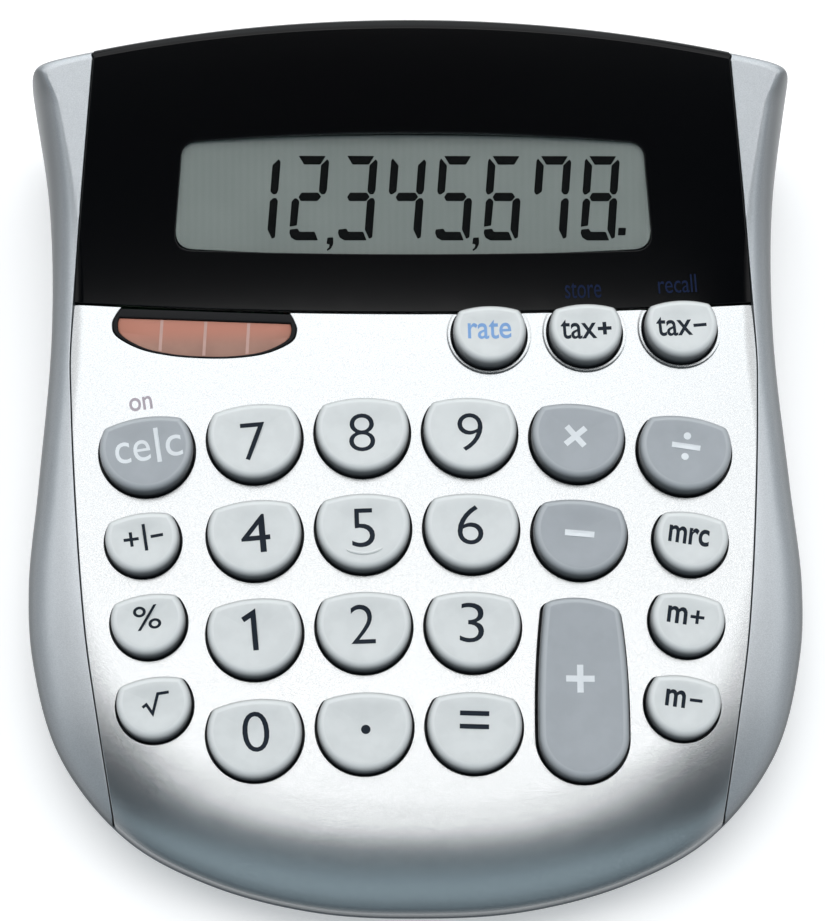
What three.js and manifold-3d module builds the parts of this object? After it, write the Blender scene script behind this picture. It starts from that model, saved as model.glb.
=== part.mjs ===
// Desktop calculator with a raised display, a solar cell and 26 sprung keys.
// Millimetres, +X right, +Y towards the display, +Z up, standing on its feet at z = 0.

import * as THREE from 'three';
import { mergeVertices } from 'three/addons/utils/BufferGeometryUtils.js';
import Module from 'manifold-3d';

const wasm = await Module();
wasm.setup();

// General fits
const gap = 0.3;
const overrun = 4;
const quarter = Math.PI / 2;
const turn = 2 * Math.PI;
const radians = THREE.MathUtils.degToRad;

// Housing outline, seen from above
const bodyLength = 146;
const bodyWidth = 125.4;
const backRadius = 306;
const cornerRadius = 3.4;
const hubY = 0.096 * bodyLength;
const sideSteps = 14;
const cornerSteps = 2;
const backSteps = 3;
// From the front tip round the right side to the rear corner
const outlineShares = [
  [0, -1], [0.263, -0.986], [0.523, -0.926], [0.734, -0.825], [0.902, -0.643],
  [0.974, -0.43], [0.987, -0.26], [0.966, -0.03], [0.938, 0.32], [0.948, 0.62], [0.996, 0.9],
];

// Where the two middle covers meet, with the keys' grid in front of it and the window behind
const creaseY = 0.1675 * bodyLength;
const columnPitch = 0.1372 * bodyWidth;
const rowPitch = 0.1104 * bodyLength;
const firstRowY = creaseY - 1.277 * rowPitch;
const windowStart = 0.0668 * bodyLength;

// Housing walls
const wall = 2;
const bezelWall = 1.8;
const floorHeight = 1.4;
const floorWall = 2;
const hullInset = 6.5;
const hullWidthShares = [0.16, 0.6, 1];
const hullHeightShares = [0.45, 0.1, 0];

// Keypad board, a plane under all the keys that clears the floor at its front edge
const boardMargin = 4.7;
const boardBackY = creaseY + windowStart - boardMargin;
const boardFrontY = firstRowY - 3.59 * rowPitch;
const boardHalf = 2.82 * columnPitch;
const boardCorner = 0.31 * boardHalf;
const boardSlope = radians(5.81);
const boardThickness = 1.2;
const boardClearance = 1.3;
const boardRise = (boardBackY - boardFrontY) * Math.tan(boardSlope);
const boardHeight = floorHeight + floorWall + boardClearance + boardThickness + boardRise;

// Housing surfaces
const keyStack = 6.6;
const edgeRise = 8.5;
const creaseHeight = boardHeight + keyStack;
const creaseRadius = 607;
const creaseSteps = 8;
const keySlope = radians(2.5);
const keyFaceRadius = 700;
const crownRadius = 900;
const panelSlope = radians(16);
const riseBefore = 9.45;
const riseAfter = 17.55;
const cheekRiseStart = creaseY - riseBefore;
const cheekRiseEnd = creaseY + riseAfter;
const partingHeight = creaseHeight - edgeRise;
const partingSlope = radians(5.4);
const frontEdgeWidth = 17;
const sideEdgeWidth = 5.5;
const backEdgeWidth = 3.2;
const frontEdgePower = 2;
const backEdgePower = 3;
const wideningStart = 10;
const wideningEnd = -0.425 * bodyLength;
const backEdgeStart = 0.425 * bodyLength;
const backEdgeEnd = 0.466 * bodyLength;
const edgeShares = [1, 0.5, 0.2, 0.05, 0];
const innerEdgeShares = [1, 0.3, 0];
const spreadShares = [0.5];

// Seam between the middle covers and the cheeks, right side, front to back
const seamShares = [
  [0.361, -0.5], [0.4005, -0.303], [0.423, -0.164], [0.44, 0.055], [0.4395, 0.185], [0.4095, 0.514],
];
const seamSteps = 9;
const tabShares = [0.34, 0.57, 0.87];
const tabReach = 2.2;
const tabLength = 9;
const tabDrop = 0.9;
const tabThickness = 1.4;

// Keys
const innerColumn = 1.5;
const outerColumn = 2.5;
const rowRadius = 316;
const keyRadius = 0.45 * Math.min(columnPitch, 1.067 * rowPitch);
const smallKeyRadius = 0.797 * keyRadius;
const topKeyDrop = 0.628 * smallKeyRadius;
const topKeyX = 0.7 * columnPitch;
const topKeyPitch = 0.901 * columnPitch;
const sideKeyX = 2.53 * columnPitch;
const sideKeyY = firstRowY - 1.11 * rowPitch;
const sideKeyLean = 0.0576 * columnPitch;
const sideKeyPitch = 0.827 * rowPitch;
const cornerAngle = radians(35);
const cornerTrim = radians(5);
const archShare = 0.71;
const archEndShare = 0.86;
const keyHeight = 3;
const keyTravel = 1.4;
const dishDepth = 0.3;
const rimInset = 0.5;
const shoulderInset = 0.12;
const shoulderDrop = 0.45;
const keyWall = 1.3;
const keyCeiling = 1.2;
const keyClearance = 0.3;
const flangeOutset = 0.6;
const flangeClearance = 0.5;
const flangeThickness = 0.9;
const postRadius = 1.5;
const roundSteps = 8;
const smallRoundSteps = 7;
const archSteps = 2;

// The tall plus key
const tallKeyX = 1.495 * columnPitch;
const tallKeyY = firstRowY - 2.647 * rowPitch;
const tallKeyRadius = 0.959 * keyRadius;
const tallKeyLength = 1.857 * rowPitch;
const tallTopHalf = 0.841 * tallKeyRadius;
const tallMidHalf = 0.969 * tallKeyRadius;
const tallArch = 1.35;
const tallLean = radians(-4.3);
const tallRoundSteps = 6;

// Shallow wells round the three upper keys
const wellMargin = 0.82;
const wellRadius = smallKeyRadius + wellMargin;
const wellDepth = 0.35;
const wellSteps = 12;
const webHalf = 0.68 * smallKeyRadius;

// Rubber keypad on the board
const sheetThickness = 0.9;
const sheetMargin = 1.2;
const sheetBackMargin = 2.8;
const domeFold = 0.4;
const domeBase = 2.7;
const domeTop = 1.8;
const domeSides = 6;

// Display
const glassHalf = 0.323 * bodyWidth;
const glassMargin = 2.3;
const windowHalf = glassHalf - glassMargin;
const windowTaper = 1.3;
const windowEnd = 0.2038 * bodyLength;
const windowSag = 1.06;
const windowCorner = 2;
const windowSteps = 2;
const lensMargin = 2.4;
const lensThickness = 0.8;
const glassFrontMargin = 3.15;
const glassBackMargin = 2.65;
const glassStart = windowStart - glassFrontMargin;
const glassEnd = windowEnd + glassBackMargin;
const glassLedge = 3;
const glassThickness = 1.1;
const frameWall = 2;
const frameFloor = 1;
const frameOpening = 4;
const ribbonHalf = 0.52 * glassHalf;
const ribbonThickness = 0.35;
const ribbonSteps = 8;

// Solar cell and its tray
const pocketX = -1.962 * columnPitch;
const pocketHalf = 0.869 * columnPitch;
const pocketDepth = 0.527 * rowPitch;
const pocketSteps = 16;
// Half of the pocket's edge, from the crease down to its lowest point
const pocketShares = [[0.91, 0], [0.965, 0.16], [0.998, 0.36], [0.93, 0.59], [0.66, 0.83], [0.34, 0.965]];
const trayWall = 0.9;
const trayBackWall = 1.9;
const traySink = 0.15;
const cellSink = 1.25;
const cellThickness = 1.1;
const trayFloor = 0.9;
const trayLip = 1.4;

// Case screws, their bosses and posts
const screwShares = [[0.271, -0.39], [0.3985, 0.092]];
const rearScrewShare = 0.397;
const bossRadius = 2.7;
const bossClearance = 0.9;
const postOuterRadius = 3.7;
const screwRadius = 1.1;
const screwHeadRadius = 2.1;
const screwHeadHeight = 1.5;
const screwGrip = 3.4;
const screwBite = 2.7;
const roundSides = 6;
// Share of the head's radius that is flat, and share of its height that is straight
const headFlatShare = 0.75;
const headEdgeShare = 0.5;

// Board screws
const boardScrewShares = [[0, 0.5], [0, 2.5], [-2, 1.5], [2, 1.5]];
const boardScrewRadius = 0.8;
const boardScrewHead = 1.8;
const boardScrewHeadHeight = 1.1;
const boardScrewBite = 3;
const boardBossRadius = 2.1;

// Battery
const cellX = 0;
const cellSetback = 9.45;
const cellY = creaseY - cellSetback;
const buttonRadius = 5.8;
const buttonHeight = 5.4;
const buttonEdge = 0.6;
const cupWall = 1.2;
const cupShare = 0.7;
const hatchHalf = 9;
const hatchLength = 27;
const hatchThickness = 1.4;
const hatchScrewInset = 4.2;
const contactThickness = 0.35;
const contactWidth = 3.2;
const buttonSides = 14;

// Feet
const footRadius = 4.6;
const footHeight = 1.7;
const footRecess = 0.6;
const footShares = [[0.308, -0.29], [0.358, 0.36]];
const footSides = 14;

// Chip under its blob of resin
const blobRadius = 6;
const blobHeight = 1.7;
const blobX = columnPitch;
const blobY = firstRowY - 1.48 * rowPitch;
const blobShares = [[0, 1], [0.6, 0.85], [1, 0], [0, 0]];

const hub = new THREE.Vector2(0, hubY);
const halfLength = bodyLength / 2;
const halfWidth = bodyWidth / 2;
const domeRise = gap + sheetThickness + keyTravel + domeFold;
const reach = bodyLength;

// Solids from geometry, and joins and cuts between them
function solid(geometry) {
  const bare = geometry.clone();
  bare.deleteAttribute('normal');
  bare.deleteAttribute('uv');
  const merged = mergeVertices(bare.index ? bare.toNonIndexed() : bare);
  return new wasm.Manifold(new wasm.Mesh({
    numProp: 3,
    vertProperties: new Float32Array(merged.attributes.position.array),
    triVerts: new Uint32Array(merged.index.array),
  }));
}

function geometryOf(body) {
  const result = body.getMesh();
  const geometry = new THREE.BufferGeometry();
  geometry.setAttribute('position', new THREE.BufferAttribute(new Float32Array(result.vertProperties), 3));
  geometry.setIndex(new THREE.BufferAttribute(new Uint32Array(result.triVerts), 1));
  geometry.computeVertexNormals();
  return geometry;
}

function joined(bodies) {
  return bodies.reduce((whole, body) => whole.add(body));
}

function cutBy(body, cutters) {
  return cutters.reduce((rest, cutter) => rest.subtract(cutter), body);
}

// A closed surface through rings of points, listed from the top down and counter-clockwise
function loft(rings) {
  const points = [];
  const starts = rings.map((ring) => {
    const start = points.length;
    points.push(...ring);
    return start;
  });
  const index = [];
  for (let level = 0; level + 1 < rings.length; level += 1) {
    const upper = rings[level];
    const lower = rings[level + 1];
    const count = Math.max(upper.length, lower.length);
    for (let step = 0; step < count; step += 1) {
      const next = (step + 1) % count;
      const above = starts[level];
      const below = starts[level + 1];
      if (lower.length > 1) {
        index.push(above + (upper.length > 1 ? step : 0), below + step, below + next);
      }
      if (upper.length > 1) {
        index.push(above + step, below + (lower.length > 1 ? next : 0), above + next);
      }
    }
  }
  const geometry = new THREE.BufferGeometry().setFromPoints(points);
  geometry.setIndex(index);
  return geometry;
}

function prism(outline, bottom, top, holes = []) {
  const shape = outline instanceof THREE.Shape ? outline : new THREE.Shape(outline);
  shape.holes.push(...holes.map((hole) => new THREE.Path(hole)));
  const geometry = new THREE.ExtrudeGeometry(shape, { depth: top - bottom, bevelEnabled: false });
  return geometry.translate(0, 0, bottom);
}

function block(width, depth, bottom, top, x = 0, y = 0) {
  return new THREE.BoxGeometry(width, depth, top - bottom).translate(x, y, (top + bottom) / 2);
}

function post(radius, bottom, top, x = 0, y = 0, sides = roundSides, topRadius = radius) {
  const geometry = new THREE.CylinderGeometry(topRadius, radius, top - bottom, sides);
  return geometry.rotateX(quarter).translate(x, y, (top + bottom) / 2);
}

function at(matrix, geometry) {
  return solid(geometry.clone().applyMatrix4(matrix));
}

function mirrored(points) {
  return points.map((point) => new THREE.Vector2(-point.x, point.y)).reverse();
}

// The outline of the housing at the parting plane, counter-clockwise from the front tip
function housingOutline() {
  const right = outlineShares.map(([x, y]) => new THREE.Vector3(x * halfWidth, y * halfLength, 0));
  const left = right.slice(1).map((point) => new THREE.Vector3(-point.x, point.y, 0)).reverse();
  const curve = new THREE.CatmullRomCurve3([...left, ...right]);
  const half = [];
  for (let step = 0; step <= sideSteps; step += 1) {
    const place = curve.getPointAt(0.5 + step / sideSteps / 2);
    half.push(new THREE.Vector2(place.x, place.y));
  }
  const end = half[half.length - 1];
  const arcStartX = end.x - cornerRadius;
  const arcY = (x) => halfLength - x * x / (2 * backRadius);
  const corner = new THREE.QuadraticBezierCurve(
    end,
    new THREE.Vector2(end.x + (halfWidth - end.x) / 2, arcY(end.x)),
    new THREE.Vector2(arcStartX, arcY(arcStartX)),
  );
  half.push(...corner.getPoints(cornerSteps).slice(1));
  for (let step = 1; step <= backSteps; step += 1) {
    const x = arcStartX * (1 - step / backSteps);
    half.push(new THREE.Vector2(x, arcY(x)));
  }
  return [...half, ...mirrored(half.slice(1, -1))];
}

const outline = housingOutline();

// The three faces that the housing is made of, as heights over the plan
function creaseLine(x) {
  return creaseY + x * x / (2 * creaseRadius);
}

function keyFace(x, y) {
  const run = creaseY - y;
  const crown = x * x / (2 * crownRadius);
  return creaseHeight - run * Math.tan(keySlope) - run * run / (2 * keyFaceRadius) - crown;
}

function displayFace(x, y) {
  const edge = creaseLine(x);
  return keyFace(x, edge) + (y - edge) * Math.tan(panelSlope);
}

function cheekFace(x, y) {
  const start = keyFace(x, cheekRiseStart);
  const startSlope = Math.tan(keySlope) + (creaseY - cheekRiseStart) / keyFaceRadius;
  const endSlope = Math.tan(panelSlope);
  const length = cheekRiseEnd - cheekRiseStart;
  const run = y - cheekRiseStart;
  if (run <= 0) {
    return keyFace(x, y);
  }
  const ramp = Math.min(run, length);
  const rise = startSlope * ramp + (endSlope - startSlope) * ramp * ramp / (2 * length);
  return start + rise + Math.max(run - length, 0) * endSlope;
}

function middleFace(x, y) {
  return Math.min(cheekFace(x, y), Math.max(keyFace(x, y), displayFace(x, y)));
}

function partingAt(y) {
  return partingHeight + y * Math.tan(partingSlope);
}

// How wide and how full the rounded edge is where a ray from the middle meets the outline
function edgeAt(point) {
  const front = THREE.MathUtils.smoothstep(wideningStart - point.y, 0, wideningStart - wideningEnd);
  const back = THREE.MathUtils.smoothstep(point.y, backEdgeStart, backEdgeEnd);
  const side = THREE.MathUtils.lerp(sideEdgeWidth, frontEdgeWidth, front);
  return {
    width: THREE.MathUtils.lerp(side, backEdgeWidth, back),
    power: THREE.MathUtils.lerp(frontEdgePower, backEdgePower, back),
  };
}

function fullness(share, power) {
  return (1 - (1 - share) ** power) ** (1 / power);
}

// The height of a rounded face over any place in the plan
function surfaceAt(face, x, y) {
  const angleAt = (point) => point.clone().sub(hub).angle();
  const angleFrom = (point, start) => {
    return THREE.MathUtils.euclideanModulo(angleAt(point) - angleAt(start), turn);
  };
  const place = new THREE.Vector2(x, y);
  const before = (step) => outline[(step + outline.length - 1) % outline.length];
  const after = outline.findIndex((point, step) => {
    return angleFrom(place, before(step)) <= angleFrom(point, before(step));
  });
  const share = angleFrom(place, before(after)) / angleFrom(outline[after], before(after));
  const rim = before(after).clone().lerp(outline[after], share);
  const edge = edgeAt(rim);
  const inward = Math.min((rim.distanceTo(hub) - place.distanceTo(hub)) / edge.width, 1);
  const base = partingAt(y);
  return base + (face(x, y) - base) * fullness(Math.max(inward, 0), edge.power);
}

// A solid under one face, down to a flat bottom, drawn in by a wall on every side
function housing(face, inset, drop, bottom, shares, rim) {
  const pull = (point, distance) => point.clone().lerp(hub, distance / point.distanceTo(hub));
  const edgeRing = (share) => rim.map((point) => {
    const edge = edgeAt(point);
    const place = pull(point, inset + (edge.width - inset / 2) * share);
    const base = partingAt(place.y);
    const height = base + (face(place.x, place.y) - drop - base) * fullness(share, edge.power);
    return new THREE.Vector3(place.x, place.y, height);
  });
  const top = edgeRing(1);
  const spread = spreadShares.map((share) => top.map((point) => {
    const place = hub.clone().lerp(point, share);
    return new THREE.Vector3(place.x, place.y, face(place.x, place.y) - drop);
  }));
  const hull = hullWidthShares.map((share, level) => rim.map((point) => {
    const place = pull(point, inset + hullInset * share);
    const base = partingAt(place.y);
    return new THREE.Vector3(place.x, place.y, bottom + (base - bottom) * hullHeightShares[level]);
  }));
  const peak = new THREE.Vector3(hub.x, hub.y, face(hub.x, hub.y) - drop);
  const base = new THREE.Vector3(hub.x, hub.y, bottom);
  return solid(loft([[peak], ...spread, ...shares.map(edgeRing), ...hull, [base]]));
}

function outer(face, drop = 0) {
  return housing(face, 0, drop, floorHeight, edgeShares, outline);
}

function inner(face, thickness) {
  const rim = outline.filter((_, place) => place % 2 === 0);
  return housing(face, thickness, thickness, floorHeight + floorWall, innerEdgeShares, rim);
}

// Regions that part the housing into its pieces
function seamPoints(shift) {
  return seamShares.map(([x, along]) => new THREE.Vector2(x * bodyWidth + shift, along * bodyLength));
}

function seamCurve(shift) {
  return new THREE.SplineCurve(seamPoints(shift)).getPoints(seamSteps);
}

function betweenSeams(shift) {
  const right = seamCurve(shift);
  const ends = [[right[right.length - 1], halfLength + overrun], [right[0], -halfLength - overrun]];
  const [back, front] = ends.map(([point, y]) => new THREE.Vector2(point.x, y));
  const side = [front, ...right, back];
  return [...side, ...mirrored(side)];
}

function creaseRegion(shift, edgeY) {
  const line = Array.from({ length: creaseSteps + 1 }, (_, step) => {
    const x = (halfWidth + overrun) * (2 * step / creaseSteps - 1);
    return new THREE.Vector2(x, creaseLine(x) + shift);
  });
  return [...line, new THREE.Vector2(line[creaseSteps].x, edgeY), new THREE.Vector2(line[0].x, edgeY)];
}

function aboveParting(shift) {
  const slab = new THREE.BoxGeometry(2 * reach, 2 * reach, reach).translate(0, 0, reach / 2 + shift);
  return solid(slab.rotateX(partingSlope).translate(0, 0, partingHeight));
}

const middle = solid(prism(betweenSeams(0), -reach, reach));
const middleClear = solid(prism(betweenSeams(gap), -reach, reach));
const coverSide = aboveParting(gap / 2);
const aboveFloor = aboveParting(-gap / 2);

// Seats on the key face
function seatOn(x, y, angle) {
  const run = creaseY - y;
  const slopeX = -x / crownRadius;
  const slopeY = Math.tan(keySlope) + run / keyFaceRadius;
  const normal = new THREE.Vector3(-slopeX, -slopeY, 1).normalize();
  const ahead = new THREE.Vector3(-Math.sin(angle), Math.cos(angle), 0);
  const across = new THREE.Vector3().crossVectors(ahead, normal).normalize();
  const along = new THREE.Vector3().crossVectors(normal, across);
  const matrix = new THREE.Matrix4().makeBasis(across, along, normal);
  return matrix.setPosition(x, y, keyFace(x, y));
}

// The board's own frame, level with its upper side
const boardFrame = new THREE.Matrix4()
  .makeRotationX(boardSlope)
  .setPosition(0, boardBackY, boardHeight);

function onBoard(seat) {
  const back = boardFrame.clone().invert();
  const place = new THREE.Vector3().setFromMatrixPosition(seat).applyMatrix4(back);
  const axis = new THREE.Vector3().setFromMatrixColumn(seat, 2).transformDirection(back);
  const depth = place.z / axis.z;
  return { depth, x: place.x - axis.x * depth, y: place.y - axis.y * depth };
}

// A key's outline: a circle with a low arch in place of its top
function arcPoints(radius, from, to, steps, centreY = 0) {
  return Array.from({ length: steps + 1 }, (_, step) => {
    const angle = from + (to - from) * step / steps;
    return new THREE.Vector2(radius * Math.cos(angle), centreY + radius * Math.sin(angle));
  });
}

function archPoints(half, base, rise, steps) {
  return Array.from({ length: steps + 1 }, (_, step) => {
    const x = half * (1 - 2 * step / steps);
    return new THREE.Vector2(x, base + rise * (1 - (x / half) ** 2));
  });
}

function roundKeyOutline(radius, steps) {
  const end = cornerAngle - cornerTrim;
  const round = arcPoints(radius, turn / 2 - end, turn + end, steps);
  const half = radius * Math.cos(cornerAngle) * archEndShare;
  const peak = radius * archShare;
  const rise = (peak - radius * Math.sin(cornerAngle)) * archEndShare ** 2;
  return [...round, ...archPoints(half, peak - rise, rise, archSteps)];
}

function tallKeyOutline() {
  const end = tallKeyLength / 2;
  const round = arcPoints(tallKeyRadius, -turn / 2, 0, tallRoundSteps, tallKeyRadius - end);
  const top = archPoints(tallTopHalf, end - tallArch, tallArch, archSteps).map((point) => {
    return new THREE.Vector2(point.x, point.y + point.x * Math.tan(tallLean));
  });
  const side = (sign) => new THREE.Vector2(sign * tallMidHalf, tallKeyRadius / 2);
  return [...round, side(1), ...top, side(-1)];
}

// Moves an outline inwards, each point along the mean of its two sides' normals
function inset(points, distance) {
  return points.map((point, index) => {
    const before = points[(index + points.length - 1) % points.length];
    const after = points[(index + 1) % points.length];
    const normalOf = (a, b) => new THREE.Vector2(a.y - b.y, b.x - a.x).normalize();
    const first = normalOf(before, point);
    const second = normalOf(point, after);
    const mean = first.clone().add(second).normalize();
    return point.clone().addScaledVector(mean, distance / mean.dot(first));
  });
}

// How far the cover's surface falls away from a key's own plane under its flange
function coverSink(key) {
  return Math.max(...inset(key.points, -flangeOutset).map((point) => {
    const place = new THREE.Vector3(point.x, point.y, 0).applyMatrix4(key.seat);
    return place.z - surfaceAt(keyFace, place.x, place.y);
  }));
}

function keyCap(points, sink, depth) {
  const flangeTop = -wall - flangeClearance - sink;
  const flangeBottom = flangeTop - flangeThickness;
  const ring = (distance, height) => {
    return inset(points, distance).map((point) => new THREE.Vector3(point.x, point.y, height));
  };
  const cap = loft([
    [new THREE.Vector3(0, 0, keyHeight - dishDepth)],
    ring(rimInset, keyHeight),
    ring(shoulderInset, keyHeight - shoulderDrop),
    ring(0, flangeTop),
    ring(-flangeOutset, flangeTop),
    ring(-flangeOutset, flangeBottom),
    ring(keyWall, flangeBottom),
    ring(keyWall, keyCeiling),
    [new THREE.Vector3(0, 0, keyCeiling)],
  ]);
  return solid(cap).add(solid(post(postRadius, domeRise + gap - depth, keyCeiling + keyWall / 2)));
}

// Every key: its name, its seat on the face, its outline and its tone
function rowSeat(column, row) {
  const x = column * columnPitch;
  const y = firstRowY - row * rowPitch - x * x / (2 * rowRadius);
  return seatOn(x, y, -x / rowRadius);
}

function sideSeat(side, row) {
  const x = side * (sideKeyX - row * sideKeyLean);
  return seatOn(x, sideKeyY - row * sideKeyPitch, -x / rowRadius);
}

function topSeat(place) {
  const x = topKeyX + place * topKeyPitch;
  return seatOn(x, creaseLine(x) - topKeyDrop, x / creaseRadius);
}

const bigOutline = roundKeyOutline(keyRadius, roundSteps);
const smallOutline = roundKeyOutline(smallKeyRadius, smallRoundSteps);
const digitRows = [['key_7', 'key_8', 'key_9'], ['key_4', 'key_5', 'key_6'], ['key_1', 'key_2', 'key_3'],
  ['key_0', 'key_point', 'key_equals']];

function keyList() {
  const keys = [];
  const add = (name, seat, points, tone) => keys.push({ name, seat, points, tone });
  digitRows.forEach((names, row) => names.forEach((name, place) => {
    add(name, rowSeat(place - innerColumn, row), bigOutline, 'light');
  }));
  add('key_clear', rowSeat(-outerColumn, 0), bigOutline, 'grey');
  add('key_multiply', rowSeat(innerColumn, 0), bigOutline, 'grey');
  add('key_divide', rowSeat(outerColumn, 0), bigOutline, 'grey');
  add('key_minus', rowSeat(innerColumn, 1), bigOutline, 'grey');
  ['key_sign', 'key_percent', 'key_root'].forEach((name, row) => {
    add(name, sideSeat(-1, row), smallOutline, 'light');
  });
  ['key_memory_recall', 'key_memory_add', 'key_memory_subtract'].forEach((name, row) => {
    add(name, sideSeat(1, row), smallOutline, 'light');
  });
  ['key_rate', 'key_tax_add', 'key_tax_subtract'].forEach((name, place) => {
    add(name, topSeat(place), smallOutline, 'light');
  });
  add('key_plus', seatOn(tallKeyX, tallKeyY, 0), tallKeyOutline(), 'grey');
  return keys;
}

const keys = keyList();

// Holes for the keys, with their clearance, through a cover
function keyHoles() {
  return keys.map((key) => {
    return at(key.seat, prism(inset(key.points, -keyClearance), -wall - overrun, overrun / 2));
  });
}

function keyWells() {
  const seats = keys.filter((key) => ['key_rate', 'key_tax_add', 'key_tax_subtract'].includes(key.name));
  const discs = seats.map((key) => at(key.seat, post(wellRadius, -wellDepth, overrun / 2, 0, 0, wellSteps)));
  const webs = seats.slice(1).map((_, place) => {
    return at(topSeat(place + 0.5), block(topKeyPitch, 2 * webHalf, -wellDepth, overrun / 2));
  });
  return joined([...discs, ...webs]);
}

// Screw bosses under the covers and posts on the floor
const rearScrewX = glassHalf + gap + frameWall + bossRadius + bossClearance;
const rightScrews = screwShares.map(([x, y]) => new THREE.Vector2(x * bodyWidth, y * bodyLength));
rightScrews.push(new THREE.Vector2(rearScrewX, rearScrewShare * bodyLength));
const screwSpots = [-1, 1].flatMap((side) => rightScrews.map((spot) => {
  return new THREE.Vector2(side * spot.x, spot.y);
}));

function boardScrewFrame([columns, rows]) {
  const seat = rowSeat(columns, rows);
  const place = onBoard(seat);
  return boardFrame.clone().multiply(new THREE.Matrix4().makeTranslation(place.x, place.y, 0));
}

const boardScrewFrames = boardScrewShares.map(boardScrewFrame);

function caseBosses(spots, face) {
  const within = outer(face, wall / 2);
  const bosses = spots.map((spot) => {
    return solid(post(bossRadius, partingAt(spot.y) + gap / 2, reach, spot.x, spot.y));
  });
  return joined(bosses).intersect(within);
}

function casePilots(spots) {
  return spots.map((spot) => {
    const top = partingAt(spot.y) + screwBite + gap;
    return solid(post(screwRadius + gap, partingAt(spot.y) - overrun, top, spot.x, spot.y));
  });
}

// The solar pocket, in a frame on the crease line
const pocketFrame = seatOn(pocketX, creaseLine(pocketX), pocketX / creaseRadius);

function pocketPrism(inward, back, bottom, top) {
  const half = pocketHalf - inward;
  const depth = pocketDepth - inward;
  const left = pocketShares.map(([x, y]) => new THREE.Vector2(-x * half, -y * depth));
  const edge = new THREE.SplineCurve([...left, new THREE.Vector2(0, -depth), ...mirrored(left)]);
  const ends = [new THREE.Vector2(-left[0].x, overrun), new THREE.Vector2(left[0].x, overrun)];
  const body = at(pocketFrame, prism([...edge.getPoints(pocketSteps), ...ends], bottom, top));
  return body.intersect(at(pocketFrame, block(reach, reach, -reach, reach, 0, back - reach / 2)));
}

function topCover() {
  const region = solid(prism(creaseRegion(-gap / 2, -halfLength - overrun).reverse(), -reach, reach));
  const whole = outer(keyFace).subtract(inner(keyFace, wall));
  const shell = whole.intersect(middle).intersect(region).intersect(coverSide);
  const spots = screwSpots.filter((spot) => spot.y < creaseY);
  const boardBosses = joined(boardScrewFrames.map((frame) => at(frame, post(boardBossRadius, gap, reach))));
  const bosses = caseBosses(spots, keyFace).add(boardBosses.intersect(outer(keyFace, wall / 2)));
  const pilots = boardScrewFrames.map((frame) => {
    return at(frame, post(boardScrewRadius + gap, -overrun, boardScrewBite + gap));
  });
  const pocket = pocketPrism(0, overrun, -wall - overrun, overrun / 2);
  const cutters = [...casePilots(spots), ...pilots, ...keyHoles(), keyWells(), pocket];
  return cutBy(shell.add(bosses), cutters);
}

// The display's frame, lying in the panel at the crease
const panelFrame = new THREE.Matrix4().makeRotationX(panelSlope).setPosition(0, creaseY, creaseHeight);

// How far the panel's surface lies under the frame's plane at a given place across
function panelSink(x) {
  const edge = creaseLine(x);
  const plane = creaseHeight + (edge - creaseY) * Math.tan(panelSlope);
  return (plane - keyFace(x, edge)) * Math.cos(panelSlope);
}

function windowOutline(margin) {
  const bottomHalf = windowHalf + margin;
  const topHalf = windowHalf - windowTaper + margin;
  const low = windowStart + windowSag - margin;
  const high = windowEnd - windowSag + margin;
  const corner = windowCorner + margin / 2;
  const shape = new THREE.Shape();
  shape.moveTo(-bottomHalf, low + corner);
  shape.quadraticCurveTo(-bottomHalf, low, -bottomHalf + corner, low - windowSag * corner / bottomHalf);
  shape.quadraticCurveTo(0, low - 2 * windowSag, bottomHalf - corner, low - windowSag * corner / bottomHalf);
  shape.quadraticCurveTo(bottomHalf, low, bottomHalf, low + corner);
  shape.lineTo(topHalf, high - corner);
  shape.quadraticCurveTo(topHalf, high, topHalf - corner, high + windowSag * corner / topHalf);
  shape.quadraticCurveTo(0, high + 2 * windowSag, -topHalf + corner, high + windowSag * corner / topHalf);
  shape.quadraticCurveTo(-topHalf, high, -topHalf, high - corner);
  return shape.getPoints(windowSteps);
}

function displayBezel() {
  const region = solid(prism(creaseRegion(gap / 2, halfLength + overrun), -reach, reach));
  const shell = outer(displayFace).subtract(inner(displayFace, bezelWall));
  const piece = shell.intersect(middle).intersect(region).intersect(coverSide);
  const spots = screwSpots.filter((spot) => spot.y > creaseY);
  const opening = at(panelFrame, prism(windowOutline(0), -wall - overrun, overrun));
  const holes = keyHoles().filter((_, index) => keys[index].name.match(/rate|tax/));
  return cutBy(piece.add(caseBosses(spots, displayFace)), [...casePilots(spots), opening, ...holes]);
}

function displayWindow() {
  const top = inner(displayFace, bezelWall + gap);
  const below = inner(displayFace, bezelWall + gap + lensThickness);
  const region = at(panelFrame, prism(windowOutline(lensMargin), -2 * overrun, overrun));
  return top.subtract(below).intersect(region);
}

// Half the width of the outline at a given place along it
function rimX(y) {
  const after = outline.findIndex((point) => point.y > y);
  const far = outline[after];
  const near = outline[after - 1];
  return THREE.MathUtils.mapLinear(y, near.y, far.y, near.x, far.x);
}

// The cheeks, each with tabs that reach under the middle covers
function cheek(side) {
  const half = solid(block(reach, 2 * reach, -reach, reach, side * reach / 2, 0));
  const shell = outer(cheekFace).subtract(inner(cheekFace, wall)).subtract(middleClear);
  const seam = new THREE.SplineCurve(seamPoints(0));
  const tabs = tabShares.map((share) => {
    const edge = seam.getPoint(share);
    const start = edge.x - tabReach;
    const end = rimX(edge.y) - wall / 2;
    const corners = [start, edge.x].flatMap((x) => [-1, 1].map((way) => {
      return surfaceAt(middleFace, x, edge.y + way * tabLength / 2);
    }));
    const top = Math.min(...corners) - wall - tabDrop;
    return solid(block(end - start, tabLength, top - tabThickness, top, side * (start + end) / 2, edge.y));
  });
  const within = joined(tabs).intersect(inner(cheekFace, wall / 2));
  return shell.add(within).intersect(half).intersect(coverSide);
}

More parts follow.
